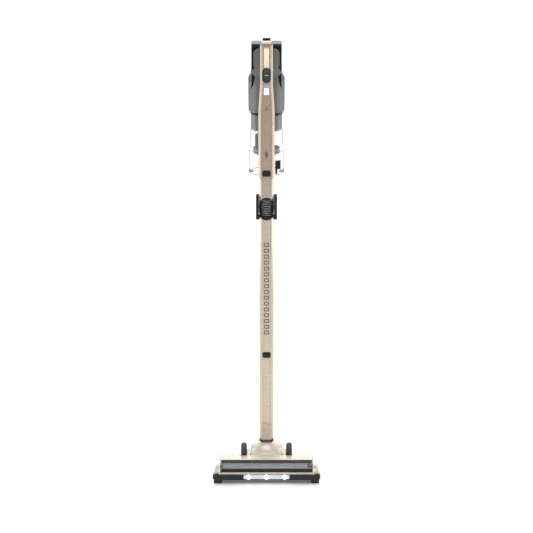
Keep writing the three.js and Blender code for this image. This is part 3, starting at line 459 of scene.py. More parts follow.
def turned(profile, axis="z", segments=96, centre=(0, 0, 0)):
    # a profile of (radius, place) pairs turned about an axis
    closed = (Vector(profile[0]) - Vector(profile[-1])).length < 1e-6
    path = profile[:-1] if closed else profile
    corners, rings = [], []
    for r, h in path:
        count = 1 if r < 1e-6 else segments
        rings.append([len(corners) + i for i in range(count)])
        for i in range(count):
            a = i / segments * math.tau
            u, v = r * math.cos(a), r * math.sin(a)
            corners.append(Vector({"z": (u, v, h), "x": (h, u, v), "y": (u, h, v)}[axis]) + Vector(centre))
    faces = []
    for k in range(len(rings) if closed else len(rings) - 1):
        low, high = rings[k], rings[(k + 1) % len(rings)]
        for i in range(segments):
            j = (i + 1) % segments
            if len(low) == 1 and len(high) == 1:
                break
            if len(low) == 1:
                faces.append((low[0], high[j], high[i]))
            elif len(high) == 1:
                faces.append((low[i], low[j], high[0]))
            else:
                faces.append((low[i], low[j], high[j], high[i]))
    return rawPiece(corners, faces)


def softProfile(points, radius, steps=4):
    # rounds the inner corners of a turned profile, whose ends stay where they are
    spots = [Vector(p) for p in points]
    closed = (spots[0] - spots[-1]).length < 1e-6
    if closed:
        soft = rounded(spots[:-1], radius, steps)
        return [tuple(p) for p in soft] + [tuple(soft[0])]
    out = [tuple(spots[0])]
    for i in range(1, len(spots) - 1):
        r = radius[i] if isinstance(radius, (list, tuple)) else radius
        out += [tuple(p) for p in arcCorner(spots[i], spots[i - 1], spots[i + 1],
                                            r, steps)] if r > 0 else [tuple(spots[i])]
    return out + [tuple(spots[-1])]


def disc(radius, start, end, axis="z", centre=(0, 0, 0), soft=0.0, segments=64):
    return turned(softProfile([(0, start), (radius, start), (radius, end), (0, end)], soft),
                  axis, segments, centre)


def ringPiece(inner, outer, start, end, axis="z", centre=(0, 0, 0), soft=0.0, segments=96):
    return turned(softProfile([(inner, start), (outer, start), (outer, end), (inner, end), (inner, start)],
                              soft), axis, segments, centre)


def loft(rings):
    # a skin over rings of equally many points, closed at both ends
    n = len(rings[0])
    corners = [p for ring in rings for p in ring]
    faces = [(r * n + i, r * n + (i + 1) % n, (r + 1) * n + (i + 1) % n, (r + 1) * n + i)
             for r in range(len(rings) - 1) for i in range(n)]
    faces += [tuple(range(n)), tuple(range((len(rings) - 1) * n, len(rings) * n))]
    return rawPiece(corners, faces)


def bevelled(piece, width=0.5, segments=3, angle=38):
    edge = piece.modifiers.new("edges", "BEVEL")
    edge.width, edge.segments = width, segments
    edge.limit_method, edge.angle_limit = "ANGLE", math.radians(angle)
    edge.use_clamp_overlap, edge.miter_outer = True, "MITER_ARC"
    return settle(piece)


def weigh(piece):
    even = piece.modifiers.new("evenNormals", "WEIGHTED_NORMAL")
    even.keep_sharp = True
    return settle(piece)


def smoothed(piece, sharpDegrees=40):
    piece.data.shade_smooth()
    piece.data.set_sharp_from_angle(angle=math.radians(sharpDegrees))
    return piece


def publish(piece, name, material, replaces, place=stickPlace, body=None, sharp=40, even=True):
    # gives a modelled piece its place, finish, body and name
    replaces = [replaces] if isinstance(replaces, str) else list(replaces or [])
    piece.name = piece.data.name = name
    piece.data.transform(place)
    piece.data.materials.clear()
    for finish in (material if isinstance(material, (list, tuple)) else [material]):
        piece.data.materials.append(finish)
    smoothed(piece, sharp)
    if even:
        weigh(piece)
    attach(piece, body or bodyOf[replaces[0]])
    if replaces:
        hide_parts(*replaces)
    return piece


def refined(node, material, name, place=stickPlace, width=0.5, segments=3):
    # a copy of a CAD node with its edges rounded
    made = bpy.data.objects.new("copy", frame["nodes"][node].data.copy())
    bpy.context.scene.collection.objects.link(made)
    made.data.transform(place.inverted())
    work = bmesh.new()
    work.from_mesh(made.data)
    bmesh.ops.remove_doubles(work, verts=work.verts, dist=0.004)
    bmesh.ops.dissolve_limit(work, angle_limit=math.radians(1), verts=work.verts, edges=work.edges)
    work.to_mesh(made.data)
    work.free()
    if "custom_normal" in made.data.attributes:
        made.data.attributes.remove(made.data.attributes["custom_normal"])
    bevelled(made, width, segments)
    return publish(made, name, material, node, place)


def repeatTree():
    # one Geometry Nodes tree: copies of a shape on rings that step along an axis, as on a brush or a tread
    tree = bpy.data.node_groups.new("ringsOfCopies", "GeometryNodeTree")
    face = tree.interface
    face.new_socket("Geometry", in_out="INPUT", socket_type="NodeSocketGeometry")
    for name, kind in (("Shape", "Object"), ("Finish", "Material"), ("Per Ring", "Int"),
                       ("Rings", "Int"), ("Radius", "Float"),
                       ("Ring Step", "Float"), ("Turn Step", "Float"), ("Start Turn", "Float"),
                       ("Chevron", "Float"), ("Jitter", "Float"), ("Seed", "Int")):
        face.new_socket(name, in_out="INPUT", socket_type="NodeSocket" + kind)
    face.new_socket("Geometry", in_out="OUTPUT", socket_type="NodeSocketGeometry")
    add, link = tree.nodes.new, tree.links.new
    given, result = add("NodeGroupInput"), add("NodeGroupOutput")

    def math2(operation, a, b=None):
        node = add("ShaderNodeMath")
        node.operation = operation
        for socket, value in zip(node.inputs, (a, b)):
            if value is None:
                continue
            if isinstance(value, (int, float)):
                socket.default_value = value
            else:
                link(value, socket)
        return node.outputs[0]

    total = math2("MULTIPLY", given.outputs["Per Ring"], given.outputs["Rings"])
    line = add("GeometryNodeMeshLine")
    link(total, line.inputs["Count"])
    index = add("GeometryNodeInputIndex").outputs[0]
    ringNumber = math2("FLOOR", math2("DIVIDE", math2("ADD", index, 0.5), given.outputs["Per Ring"]))
    inRing = math2("SUBTRACT", index, math2("MULTIPLY", ringNumber, given.outputs["Per Ring"]))
    middle = math2("DIVIDE", math2("SUBTRACT", given.outputs["Rings"], 1.0), 2.0)
    offset = math2("SUBTRACT", ringNumber, middle)
    folded = math2("ADD", math2("MULTIPLY", math2("ABSOLUTE", offset), given.outputs["Chevron"]),
                  math2("MULTIPLY", offset, math2("SUBTRACT", 1.0, given.outputs["Chevron"])))
    jitter = add("FunctionNodeRandomValue")
    jitter.inputs[2].default_value, jitter.inputs[3].default_value = -1.0, 1.0
    link(index, jitter.inputs["ID"])
    link(given.outputs["Seed"], jitter.inputs["Seed"])
    wander = math2("MULTIPLY", jitter.outputs[1], given.outputs["Jitter"])
    turn = math2("ADD", math2("ADD",
                              math2("MULTIPLY", math2("DIVIDE", inRing,
                                                      given.outputs["Per Ring"]), math.tau),
                            math2("MULTIPLY", folded, given.outputs["Turn Step"])),
                            math2("ADD", wander, given.outputs["Start Turn"]))
    spot = add("ShaderNodeCombineXYZ")
    link(math2("MULTIPLY", math2("COSINE", turn), given.outputs["Radius"]), spot.inputs[0])
    link(math2("MULTIPLY", math2("SINE", turn), given.outputs["Radius"]), spot.inputs[1])
    link(math2("MULTIPLY", offset, given.outputs["Ring Step"]), spot.inputs[2])
    place = add("GeometryNodeSetPosition")
    link(line.outputs[0], place.inputs["Geometry"])
    link(spot.outputs[0], place.inputs["Position"])
    shape = add("GeometryNodeObjectInfo")
    link(given.outputs["Shape"], shape.inputs["Object"])
    facing = add("ShaderNodeCombineXYZ")
    link(turn, facing.inputs[2])
    copies = add("GeometryNodeInstanceOnPoints")
    link(place.outputs[0], copies.inputs["Points"])
    link(shape.outputs["Geometry"], copies.inputs["Instance"])
    link(facing.outputs[0], copies.inputs["Rotation"])
    real, finish = add("GeometryNodeRealizeInstances"), add("GeometryNodeSetMaterial")
    link(copies.outputs[0], real.inputs[0])
    link(real.outputs[0], finish.inputs["Geometry"])
    link(given.outputs["Finish"], finish.inputs["Material"])
    link(finish.outputs[0], result.inputs[0])
    return tree


ringsOfCopies = repeatTree()


def repeated(shape, material, place, name, body, slot, **sizes):
    # runs the tree on one shape, whose outward side is +X, and keeps the result as a plain piece
    holder = rawPiece([(0, 0, 0), (1, 0, 0), (0, 1, 0)], [(0, 1, 2)], "holder")
    change = holder.modifiers.new("copies", "NODES")
    change.node_group = ringsOfCopies
    values = {"Shape": shape, "Finish": material, "Per Ring": 1, "Rings": 1,
              "Radius": 0.0, "Ring Step": 0.0, "Turn Step": 0.0,
              "Start Turn": 0.0, "Chevron": 0.0, "Jitter": 0.0, "Seed": 3, **sizes}
    for socket in ringsOfCopies.interface.items_tree:
        if socket.in_out == "INPUT" and socket.name in values:
            change[socket.identifier] = values[socket.name]
    settle(holder)
    drop(shape)
    return publish(holder, name, material, None, place, body, even=False)


alongX = Matrix.Rotation(math.radians(90), 4, "Y")  # turns a tree's own Z axis to +X
print("tools ready")

# camera, at eye height in front
view = {"distance": 4.0, "height": 1.45, "aim": 0.545, "lens": 109.4}
camera = bpy.data.objects.new("camera", bpy.data.cameras.new("camera"))
bpy.context.scene.collection.objects.link(camera)
camera.data.lens = view["lens"]
camera.location = (0, axle.y - view["distance"], view["height"])
camera.rotation_euler = (Vector((0, axle.y, view["aim"])) - camera.location).to_track_quat("-Z",
        "Y").to_euler()
camera.data.clip_end = 60
bpy.context.scene.camera = camera

# floor that curves up behind
studio = {"width": 16.0, "front": -9.0, "turn": 3.2, "radius": 1.6, "height": 7.0}
turns = [math.pi / 2 * i / 24 for i in range(25)]
sweep = [(studio["front"], 0.0)]
sweep += [(studio["turn"] + studio["radius"] * math.sin(a), studio["radius"] * (1 - math.cos(a)))
          for a in turns]
sweep += [(studio["turn"] + studio["radius"], studio["height"])]
half = studio["width"] / 2
floor = rawPiece([(x, y, z) for y, z in sweep for x in (-half, half)],
                 [(2 * i, 2 * i + 1, 2 * i + 3, 2 * i + 2) for i in range(len(sweep) - 1)], "studioFloor")
floorFinish = Finish("studioPaper")
floorFinish.shade(baseColor=floorFinish.between(floorFinish.noise(2.5, 2),
        (0.87, 0.87, 0.87), (0.89, 0.89, 0.89)), roughness=0.22,
                  specularIorLevel=0.45)
floor.data.materials.append(floorFinish.material)
floor.data.shade_smooth()


def softBox(name, location, aim, size, brightness):
    # brightness is what a mirror would show of it, whatever its size
    lamp = bpy.data.lights.new(name, "AREA")
    lamp.shape, lamp.size, lamp.size_y = "RECTANGLE", size[0], size[1]
    lamp.energy = brightness * math.pi * size[0] * size[1]
    made = bpy.data.objects.new(name, lamp)
    bpy.context.scene.collection.objects.link(made)
    made.location = location
    made.rotation_euler = (Vector(aim) - Vector(location)).to_track_quat("-Z", "Y").to_euler()
    made.visible_camera = False


for side in (1, -1):
    softBox("rim" + str(side), (side * 1.15, 0.5, 0.82), (0, 0, 0.82), (0.85, 1.2), 1.6)
    softBox("side" + str(side), (side * 2.4, -1.3, 1.3), (0, 0, 0.6), (1.2, 2.2), 1.5)
softBox("topPanel", (0, 0.9, 3.2), (0, 0.5, 0), (4.6, 3.6), 2.0)
softBox("frontPanel", (0, -5.3, 1.95), (0, 0, 1.0), (1.5, 1.5), 5.5)
softBox("backPanel", (0, 1.2, 3.0), (0, 4.6, 1.0), (6.0, 1.4), 7.5)
world = bpy.data.worlds.new("studioAir")
bpy.context.scene.world = world
world.use_nodes = True
air = world.node_tree.nodes["Background"]
air.inputs["Color"].default_value, air.inputs["Strength"].default_value = (1, 1, 1, 1), 0.38
bpy.context.scene.view_settings.view_transform = "Standard"
print("studio ready")

# sizes shared by the stick's pieces, read from the frame
neckLow, neckHigh = nodeBox("neck_tube")
lowerLow, lowerHigh = nodeBox("lower_tube")
upperLow, upperHigh = nodeBox("upper_tube")
pivot = nodeBox("fold_pin_right")[0].lerp(nodeBox("fold_pin_right")[1], 0.5)
base = nodeBox("spine_cover")[0].z  # heights on the handheld unit start here
collarLow, collarHigh = nodeBox("bin_collar")
binAxis = (collarLow.y + collarHigh.y) / 2
axisSpot = (0, binAxis, 0)
tubeForm = {"halfWidth": neckHigh.x, "halfDepth": neckHigh.y, "chamferX": 6.5,
            "chamferY": 10.0, "wall": 1.8, "round": 4.5}


def tubeOutline(inset=0.0):
    t = tubeForm
    w, b = t["halfWidth"] - inset, t["halfDepth"] - inset
    f = -b
    cx, cy = t["chamferX"] - inset * 0.4, t["chamferY"] - inset * 0.4
    return rounded([(-w + cx, f), (w - cx, f), (w, f + cy), (w, b - cy), (w - cx, b),
                    (-w + cx, b), (-w, b - cy), (-w, f + cy)],
                   max(t["round"] - inset, 1.0), 5)


def tubePiece(start, end):
    return carve(prism(tubeOutline(), "z", start, end),
                 prism(tubeOutline(tubeForm["wall"]), "z", start - 1, end + 1))


def slotTool(x0, x1, z0, z1, radius, y0, y1):
    return prism(rectangle(x0, z0, x1, z1, radius, 5), "y", y0, y1)


def boxTool(node, grow, radius, y0, y1):
    low, high = nodeBox(node)
    return slotTool(low.x - grow, high.x + grow, low.z - grow, high.z + grow, radius, y0, y1)


def archTool(height, side):
    radius = 19.6
    return prism(circlePoints(radius, 0, height + side * (radius - 0.5), 64), "y", -60, 60)


# neck tube, lower tube and the short upper tube
tubeFront = -tubeForm["halfDepth"]
clipForm = {"gap": 0.3, "pocket": 2.8, "flat": 29.0, "lip": 0.2, "round": 0.9}
clipLow, clipHigh = nodeBox("neck_clip_panel")
neck = tubePiece(neckLow.z, neckHigh.z)
gap = clipForm["gap"]
carve(neck, block(clipLow.x - gap, clipHigh.x + gap, tubeFront - 2, tubeFront + clipForm["pocket"],
                  clipLow.z - gap, clipHigh.z + gap))
publish(bevelled(neck, 0.35), "neckTube", tubeMetal, "neck_tube")
clip = prism([(clipHigh.y, clipLow.z), (clipLow.y, clipLow.z), (clipLow.y, clipLow.z + clipForm["flat"]),
              (tubeFront + clipForm["lip"], clipHigh.z), (clipHigh.y, clipHigh.z)],
              "x", clipLow.x, clipHigh.x)
publish(bevelled(clip, clipForm["round"], 4, 12), "neckClipPanel", champagne, "neck_clip_panel")

lowerArch = nodeBox("fold_fork_lower")[0].z + 12
lower = tubePiece(lowerLow.z, lowerHigh.z)
carve(lower, boxTool("tube_release_button", 0.6, 4, -60, 0),
      boxTool("fold_release_button", 0.6, 4, 0, 60), archTool(lowerArch, 1),
      *[block(*sorted((side * 12.7, side * 40)), -9.3, 9.3, lowerArch - 0.3, lowerHigh.z + 4)
        for side in (1, -1)])
publish(bevelled(lower, 0.35), "lowerTube", tubeMetal, "lower_tube")
upperArch = nodeBox("fold_fork_upper")[1].z - 12
upper = tubePiece(upperLow.z, upperHigh.z)
carve(upper, archTool(upperArch, -1),
      *[block(*sorted((side * 10, side * 40)), -9.8, 9.8, upperLow.z - 4, upperArch + 0.5)
        for side in (1, -1)])
publish(bevelled(upper, 0.35), "upperTube", upperMetal, "upper_tube")
print("tubes made")


def buttonPiece(node, name, front):
    # a pad with three cut grip lines
    low, high = nodeBox(node)
    pad = slotTool(low.x, high.x, low.z, high.z, 4, low.y, high.y)
    width, middle = high.x - low.x, (low.z + high.z) / 2
    face = low.y if front else high.y
    lines = {"half": 0.26, "pitch": 3.1, "stroke": 0.45, "depth": 0.45}
    y0, y1 = (face - 1, face + lines["depth"]) if front else (face - lines["depth"], face + 1)
    for step in (-1, 0, 1):
        z = middle + step * lines["pitch"]
        carve(pad, slotTool(-width * lines["half"], width * lines["half"],
                            z - lines["stroke"], z + lines["stroke"], 0.4, y0, y1))
    publish(bevelled(pad, 0.6, 4), name, blackPlastic, node)


buttonPiece("tube_release_button", "tubeReleaseButton", True)
buttonPiece("handheld_release_button", "handheldReleaseButton", True)
buttonPiece("fold_release_button", "foldReleaseButton", False)

# folding joint: two forks, their pins and the ribbed hose between them
refined("fold_fork_lower", blackPlastic, "foldForkLower", width=0.9, segments=4)
refined("fold_fork_upper", blackPlastic, "foldForkUpper", width=0.5)
for side, node in ((1, "fold_pin_right"), (-1, "fold_pin_left")):
    low, high = nodeBox(node)
    pin = disc((high.z - low.z) / 2, low.x, high.x, "x", (0, 0, pivot.z), 0.5)
    outer = high.x if side > 0 else low.x
    carve(pin, prism([Vector((1.8 * math.cos(math.tau * i / 6), pivot.z + 1.8 * math.sin(math.tau * i / 6)))
                      for i in range(6)], "x",
                     *sorted((outer - side * 2.2, outer + side * 1))))
    publish(bevelled(pin, 0.2, 2), "foldPin" + ("Right" if side > 0 else "Left"), steel, node)

hoseForm = {"ribs": 12, "outer": 14.2, "inner": 11.4, "wall": 1.1, "points": 10}
hoseLow, hoseHigh = nodeBox("bellows_hose")


def ribLine(offset):
    count = hoseForm["ribs"] * hoseForm["points"]
    middle, swing = (hoseForm["outer"] + hoseForm["inner"]) / 2, (hoseForm["outer"] - hoseForm["inner"]) / 2
    return [(middle + swing * math.tanh(2.2 * math.cos(math.tau * i / hoseForm["points"])) - offset,
             hoseLow.z + (hoseHigh.z - hoseLow.z) * i / count) for i in range(count + 1)]


outside, inside = ribLine(0), ribLine(hoseForm["wall"])
hose = turned(outside + inside[::-1] + [outside[0]], "z", 72)
hose.name = hose.data.name = "bellowsHose"
# faces out on the crests take the light grey: painted highlight along the ribs
for finish in (hoseRubber, hoseCrestHighlight):
    hose.data.materials.append(finish)
for face in hose.data.polygons:
    face.material_index = int(math.hypot(face.center.x, face.center.y) > hoseForm["outer"] - 0.25)
hose.data.transform(stickPlace)
smoothed(hose, 60)
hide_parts("bellows_hose")
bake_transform(hose)
print("folding joint made")

# floor head: cover, window and end caps
coverLow = nodeBox("head_top_cover", headPlace)[0]
capLow = nodeBox("end_cap_right", headPlace)[0]
rollerLow, rollerHigh = nodeBox("roller_pile", headPlace)
windowLow, windowHigh = nodeBox("brush_window", headPlace)
headForm = {"halfWidth": 136.0, "topHalf": 126.5, "backHalf": 126.0, "wall": 2.4,
            "reach": 30.0, "back": -12.0, "corner": 7.0}
rollerY, rollerZ = (rollerLow.y + rollerHigh.y) / 2, (rollerLow.z + rollerHigh.z) / 2
frontY = rollerY - headForm["reach"]
windowForm = {"inner": 27.7, "outer": 29.3, "from": 100, "to": 170, "gap": 0.3,
              "sealInner": 29.32, "sealOuter": 29.6}
yokeForm = {"radius": 36.0, "halfWidth": 41.0, "corner": 8.5, "room": 1.5, "wheelRoom": 40}
wheelLow, wheelHigh = nodeBox("tyre_right", headPlace)


def coverForm(inset):
    h = headForm
    reach, back = h["reach"] - inset, h["back"] - inset
    bottom = coverLow.z - (1 if inset > 0 else 0)
    turns = [math.pi - math.pi / 2 * i / 28 for i in range(29)]
    arc = [Vector((rollerY + reach * math.cos(a), rollerZ + reach * math.sin(a))) for a in turns]
    tail = rounded([(back - 14, rollerZ + reach), (back, rollerZ + reach), (back, rollerZ + reach - 14)],
                   [0, 11, 0], 8)
    profile = [Vector((rollerY - reach, bottom))] + arc + tail + [Vector((back, bottom))]
    halfWidth, topHalf, backHalf = h["halfWidth"] - inset, h["topHalf"] - inset, h["backHalf"] - inset
    plan = rounded([(-halfWidth, frontY - 1), (halfWidth, frontY - 1), (backHalf, h["back"]),
                    (-backHalf, h["back"])], h["corner"], 10)
    top = rollerZ + h["reach"] - inset
    face = rounded([(-halfWidth, 0), (halfWidth, 0), (halfWidth, coverLow.z), (topHalf, top),
                    (-topHalf, top), (-halfWidth, coverLow.z)],
                   [0, 0, 3, 3.5, 3.5, 3], 6)
    return overlapOf(prism(profile, "x", -halfWidth - 1, halfWidth + 1),
                     prism(plan, "z", -5, 120), prism(face, "y", -200, 20))


capInner = capLow.x - 0.3


def wells():
    # room for the neck's barrel, the two axle arms and the wheels
    reach, end = yokeForm["radius"] + yokeForm["room"], yokeForm["halfWidth"] + 2
    tools = [turned([(0, -end), (reach, -end), (reach, end), (0, end)], "x", 96, (0, 0, wheelHeight))]
    for side in (1, -1):
        tools.append(block(*sorted((side * 42, side * 52.6)), headForm["back"] - 12, 5, -5, 80))
        tools.append(disc(yokeForm["wheelRoom"],
                          *sorted((side * (wheelLow.x - 1.2), side * (wheelHigh.x + 1.2))),
                          "x", (0, 0, wheelHeight), 0, 96))
    return tools


cover = overlapOf(coverForm(0), block(-capInner, capInner, -200, 20, 0, 100))
w = windowForm
pane = prism(sectorPoints(rollerY, rollerZ, 0, 36, w["from"] - 2, w["to"] + 1.5), "x",
             windowLow.x - w["gap"], windowHigh.x + w["gap"])
carve(cover, coverForm(headForm["wall"]), pane, *wells())
# fine groove across the top, behind the window
carve(cover, block(-capInner - 1, capInner + 1, rollerY + 9, rollerY + 9.7,
                   rollerZ + headForm["reach"] - 0.5, 90))
publish(bevelled(cover, 0.6, 3), "headTopCover", headLacquer, "head_top_cover", headPlace)
glass = prism(sectorPoints(rollerY, rollerZ, w["inner"], w["outer"], w["from"], w["to"], 40),
              "x", windowLow.x, windowHigh.x)
publish(bevelled(glass, 0.3, 2), "brushWindow", windowPlastic, "brush_window", headPlace)
# two black strips on the window: the upper one is the edging of its frame, the lower one is painted shade for the
# shadow on the roller's underside
for name, start, end, steps in (("windowSeal", 100.5, 121, 14), ("windowSealLow", 155, 169.5, 12)):
    windowStrip = prism(sectorPoints(rollerY, rollerZ, w["sealInner"], w["sealOuter"], start, end, steps),
                 "x", windowLow.x + 1, windowHigh.x - 1)
    publish(bevelled(windowStrip, 0.08, 1), name, windowStripBlack, None, headPlace, "floor_head")
for side, node in ((1, "end_cap_right"), (-1, "end_cap_left")):
    cap = overlapOf(coverForm(0), block(*sorted((side * (capInner + 0.6), side * 140)), -200, 20, 0, 100))
    hollow = overlapOf(coverForm(3.2),
                       block(*sorted((side * (capInner - 1), side * 140)), frontY + 12, 20, 0, 100))
    across = sorted((side * (capInner + 3.9), side * (headForm["halfWidth"] - 3.3)))
    pocket = slotTool(*across, 21, rollerZ + 12, 3, frontY - 3, frontY + 5)
    ridge = slotTool(*across, rollerZ + 15, rollerZ + 17, 0.9, frontY - 3, frontY + 9)
    carve(cap, hollow, pocket, ridge)
    publish(bevelled(cap, 0.6, 3), "endCap" + ("Right" if side > 0 else "Left"),
            shellLacquer, node, headPlace)
for node, finish, name, place, width, segments in (
        ("head_chassis", blackPlastic, "headChassis", headPlace, 0.3, 2),
        ("sole_plate", greyPlastic, "solePlate", headPlace, 0.5, 3),
        ("axle_arm_right", headLacquer, "axleArmRight", headPlace, 0.8, 4),
        ("axle_arm_left", headLacquer, "axleArmLeft", headPlace, 0.8, 4),
        ("suction_elbow", blackPlastic, "suctionElbow", stickPlace, 1.0, 3),
        ("brush_motor", steel, "brushMotor", headPlace, 0.6, 3),
        ("brush_motor_pulley", greyPlastic, "brushMotorPulley", headPlace, 0.3, 2),
        ("drive_belt", beltRubber, "driveBelt", headPlace, 0.2, 2),
        ("roller_core", greyPlastic, "rollerCore", headPlace, 0.5, 3),
        ("roller_pulley", greyPlastic, "rollerPulley", headPlace, 0.3, 2)):
    refined(node, finish, name, place, width, segments)
print("head shells made")

# bumper with its feet, and the lit bar set into it
bumperLow, bumperHigh = nodeBox("front_bumper", headPlace)
barLow, barHigh = nodeBox("light_bar_lens", headPlace)
bumperForm = {"bottom": 11.0, "thickness": 6.0, "footWidth": 24.0, "footDepth": 22.0, "corner": 5.0}
bw, bf, bt = bumperHigh.x, bumperLow.y, bumperHigh.z


def bumperPlan(inset, end):
    return rounded([(-bw + inset, bf + inset), (bw - inset, bf + inset),
                    (bw - inset - 2, end), (-bw + inset + 2, end)],
                   [max(bumperForm["corner"] - inset, 1), max(bumperForm["corner"] - inset, 1), 0, 0], 10)


bumper = prism(bumperPlan(0, bumperHigh.y), "z", bumperForm["bottom"], bt)
carve(bumper, prism(bumperPlan(bumperForm["thickness"], bumperHigh.y + 20), "z", -1, bt + 1),
      block(-133.3, 133.3, frontY + 3.2, 20, -1, 60),
      block(barLow.x - 0.3, barHigh.x + 0.3, bf - 1, barHigh.y + 0.9, 0, 60))
for side in (1, -1):
    outer, inner = side * (bw - 3.5), side * (bw - 3.5 - bumperForm["footWidth"])
    foot = prism([Vector(p) for p in ((inner + side * 6, 0), (outer, 0), (outer, bumperForm["bottom"] + 1),
                                      (inner, bumperForm["bottom"] + 1))], "y",
                 bf + 1, bf + bumperForm["thickness"] - 0.5)
    pad = block(*sorted((inner + side * 6, outer)), bf + 1, bf + bumperForm["footDepth"], 0, 3.7)
    fuse(bumper, foot, pad)
publish(bevelled(bumper, 0.9, 4), "frontBumper", bumperRubber, "front_bumper", headPlace)
lens = slotTool(barLow.x, barHigh.x, barLow.z, barHigh.z, 3, barLow.y, barHigh.y)
publish(bevelled(lens, 0.4, 3), "lightBarLens", lampLens, "light_bar_lens", headPlace)
ledBody = disc(4.6, -0.4, 0.4, "x", (0, 0, 0), 0.2, 40)
ledBody.data.transform(Matrix.Rotation(math.radians(90), 4, "Z") @ Matrix.Diagonal((1, 1.35, 1, 1)))
repeated(ledBody, lampGlow, headPlace @ Matrix.Translation((0, barLow.y,
        (barLow.z + barHigh.z) / 2)) @ alongX,
         "lightBarLamps", "floor_head", "lamp_lens", **{"Rings": 3, "Ring Step": 46.0})

# roller: pile sleeve and helical rows of bristles that meet in the middle
pileForm = {"radius": rollerHigh.z - rollerZ, "rowTwist": 0.006, "tufts": 150}
pile = ringPiece(13.3, pileForm["radius"] - 1.4, rollerLow.x, rollerHigh.x,
                 "x", (0, rollerY, rollerZ), 1.2, 96)
publish(pile, "rollerPile", pileGrey, "roller_pile", headPlace)
pileMiddle, pileLength = (rollerLow.x + rollerHigh.x) / 2, rollerHigh.x - rollerLow.x
rollerPlace = headPlace @ Matrix.Translation((pileMiddle, rollerY, rollerZ)) @ alongX


def tuft(width, height, lean):
    return loft([[Vector((h, w * width * (1 - 0.45 * k), t * width * 0.42 * (1 - 0.45 * k) + lean * k))
                  for w, t in ((-0.5, -1), (0.5, -1), (0.5, 1), (-0.5, 1))] for k,
                  h in ((0, 0), (0.6, height * 0.6), (1, height))])


for tone, finish, start in (("Dark", bristleDark, 0.4), ("Light", bristleLight, 0.4 + math.pi / 3)):
    repeated(tuft(1.9, 2.0, 0.1), finish, rollerPlace, "rollerBristles" + tone,
             "brush_roller", "brush_fabric",
             **{"Per Ring": 3, "Rings": pileForm["tufts"], "Radius": pileForm["radius"] - 2.1,
                "Ring Step": (pileLength - 6) / pileForm["tufts"],
                "Turn Step": pileForm["rowTwist"], "Start Turn": start, "Chevron": 1.0, "Jitter": 0.03})
print("brush made")

# wheels: ribbed tyre, dished hub with spokes
for side, word in ((1, "right"), (-1, "left")):
    low, high = nodeBox("tyre_" + word, headPlace)
    inner, outer = (low.x, high.x)
    crown, edge, hubRadius = wheelHeight, wheelHeight - 2, 24.0
    profile = softProfile([(hubRadius, inner), (edge - 3, inner), (edge, inner + 2.8),
                           (crown - 0.25, (inner + outer) / 2),
                           (edge, outer - 2.8), (edge - 3, outer), (hubRadius, outer),
                           (hubRadius, inner)], 1.6, 5)
    tyre = turned(profile, "x", 128, (0, 0, wheelHeight))
    for groove in (-2.6, 2.6):
        x = (inner + outer) / 2 + groove
        carve(tyre, ringPiece(crown - 1.6, crown + 4, x - 0.35, x + 0.35, "x", (0, 0, wheelHeight), 0, 128))
    publish(bevelled(tyre, 0.15, 2, 50), "tyre" + word.capitalize(), tyreRubber, "tyre_" + word, headPlace)
    hubLow, hubHigh = nodeBox("wheel_hub_" + word, headPlace)
    face = hubHigh.x if side > 0 else hubLow.x
    stub = hubLow.x if side > 0 else hubHigh.x
    innerFace = inner + 0.8 if side > 0 else outer - 0.8
    rim = [(0, stub), (4, stub), (4, innerFace), (hubRadius - 0.3, innerFace),
           (hubRadius - 0.3, face), (18, face),
           (16.6, face - side * 3.0), (6.4, face - side * 2.4),
           (5.6, face - side * 0.6), (0, face - side * 0.6)]
    hub = turned(softProfile(rim, 0.5, 3), "x", 96, (0, 0, wheelHeight))
    publish(hub, "wheelHub" + word.capitalize(), hubPlastic, "wheel_hub_" + word, headPlace)
    spoke = block(6, 17, -0.9, 0.9, -1.2, 1.2)
    bevelled(spoke, 0.35, 2)
    repeated(spoke, hubPlastic, headPlace @ Matrix.Translation((face - side * 2.2, 0,
            wheelHeight)) @ alongX, "hubSpokes" + word.capitalize(), "wheel_" + word,
             "wheel_plastic", **{"Per Ring": 6})
    rib = block(-0.4, 0.28, -0.35, 0.35, -3.6, 3.6)
    bevelled(rib, 0.12, 2)
    for name, offset in (("Inner", -5.2), ("Outer", 5.2)):
        shape = rawPiece([v.co for v in rib.data.vertices], [tuple(p.vertices) for p in rib.data.polygons])
        shape.data.transform(Matrix.Diagonal((1, 1, 0.42, 1)))
        repeated(shape, tyreRubber, headPlace @ Matrix.Translation(((inner + outer) / 2 + offset * 0.86,
                0, wheelHeight)) @ alongX,
                 "tyreRibs" + name + word.capitalize(), "wheel_" + word, "tyre_rubber",
                 **{"Per Ring": 84, "Radius": edge + 0.12})
    drop(rib)
print("wheels made")

# neck yoke: the barrel and its saddle grow into each other
radius, half = yokeForm["radius"], yokeForm["halfWidth"]
barrel = turned(softProfile([(0, -half), (radius, -half), (radius, half), (0, half)],
                            yokeForm["corner"], 10), "x", 128)


def squircle(width, depth, height, count=48):
    spots = []
    for i in range(count):
        c, s = math.cos(i / count * math.tau), math.sin(i / count * math.tau)
        spots.append(Vector((math.copysign(abs(c) ** 0.8, c) * width / 2,
                             math.copysign(abs(s) ** 0.8, s) * depth / 2, height)))
    return spots


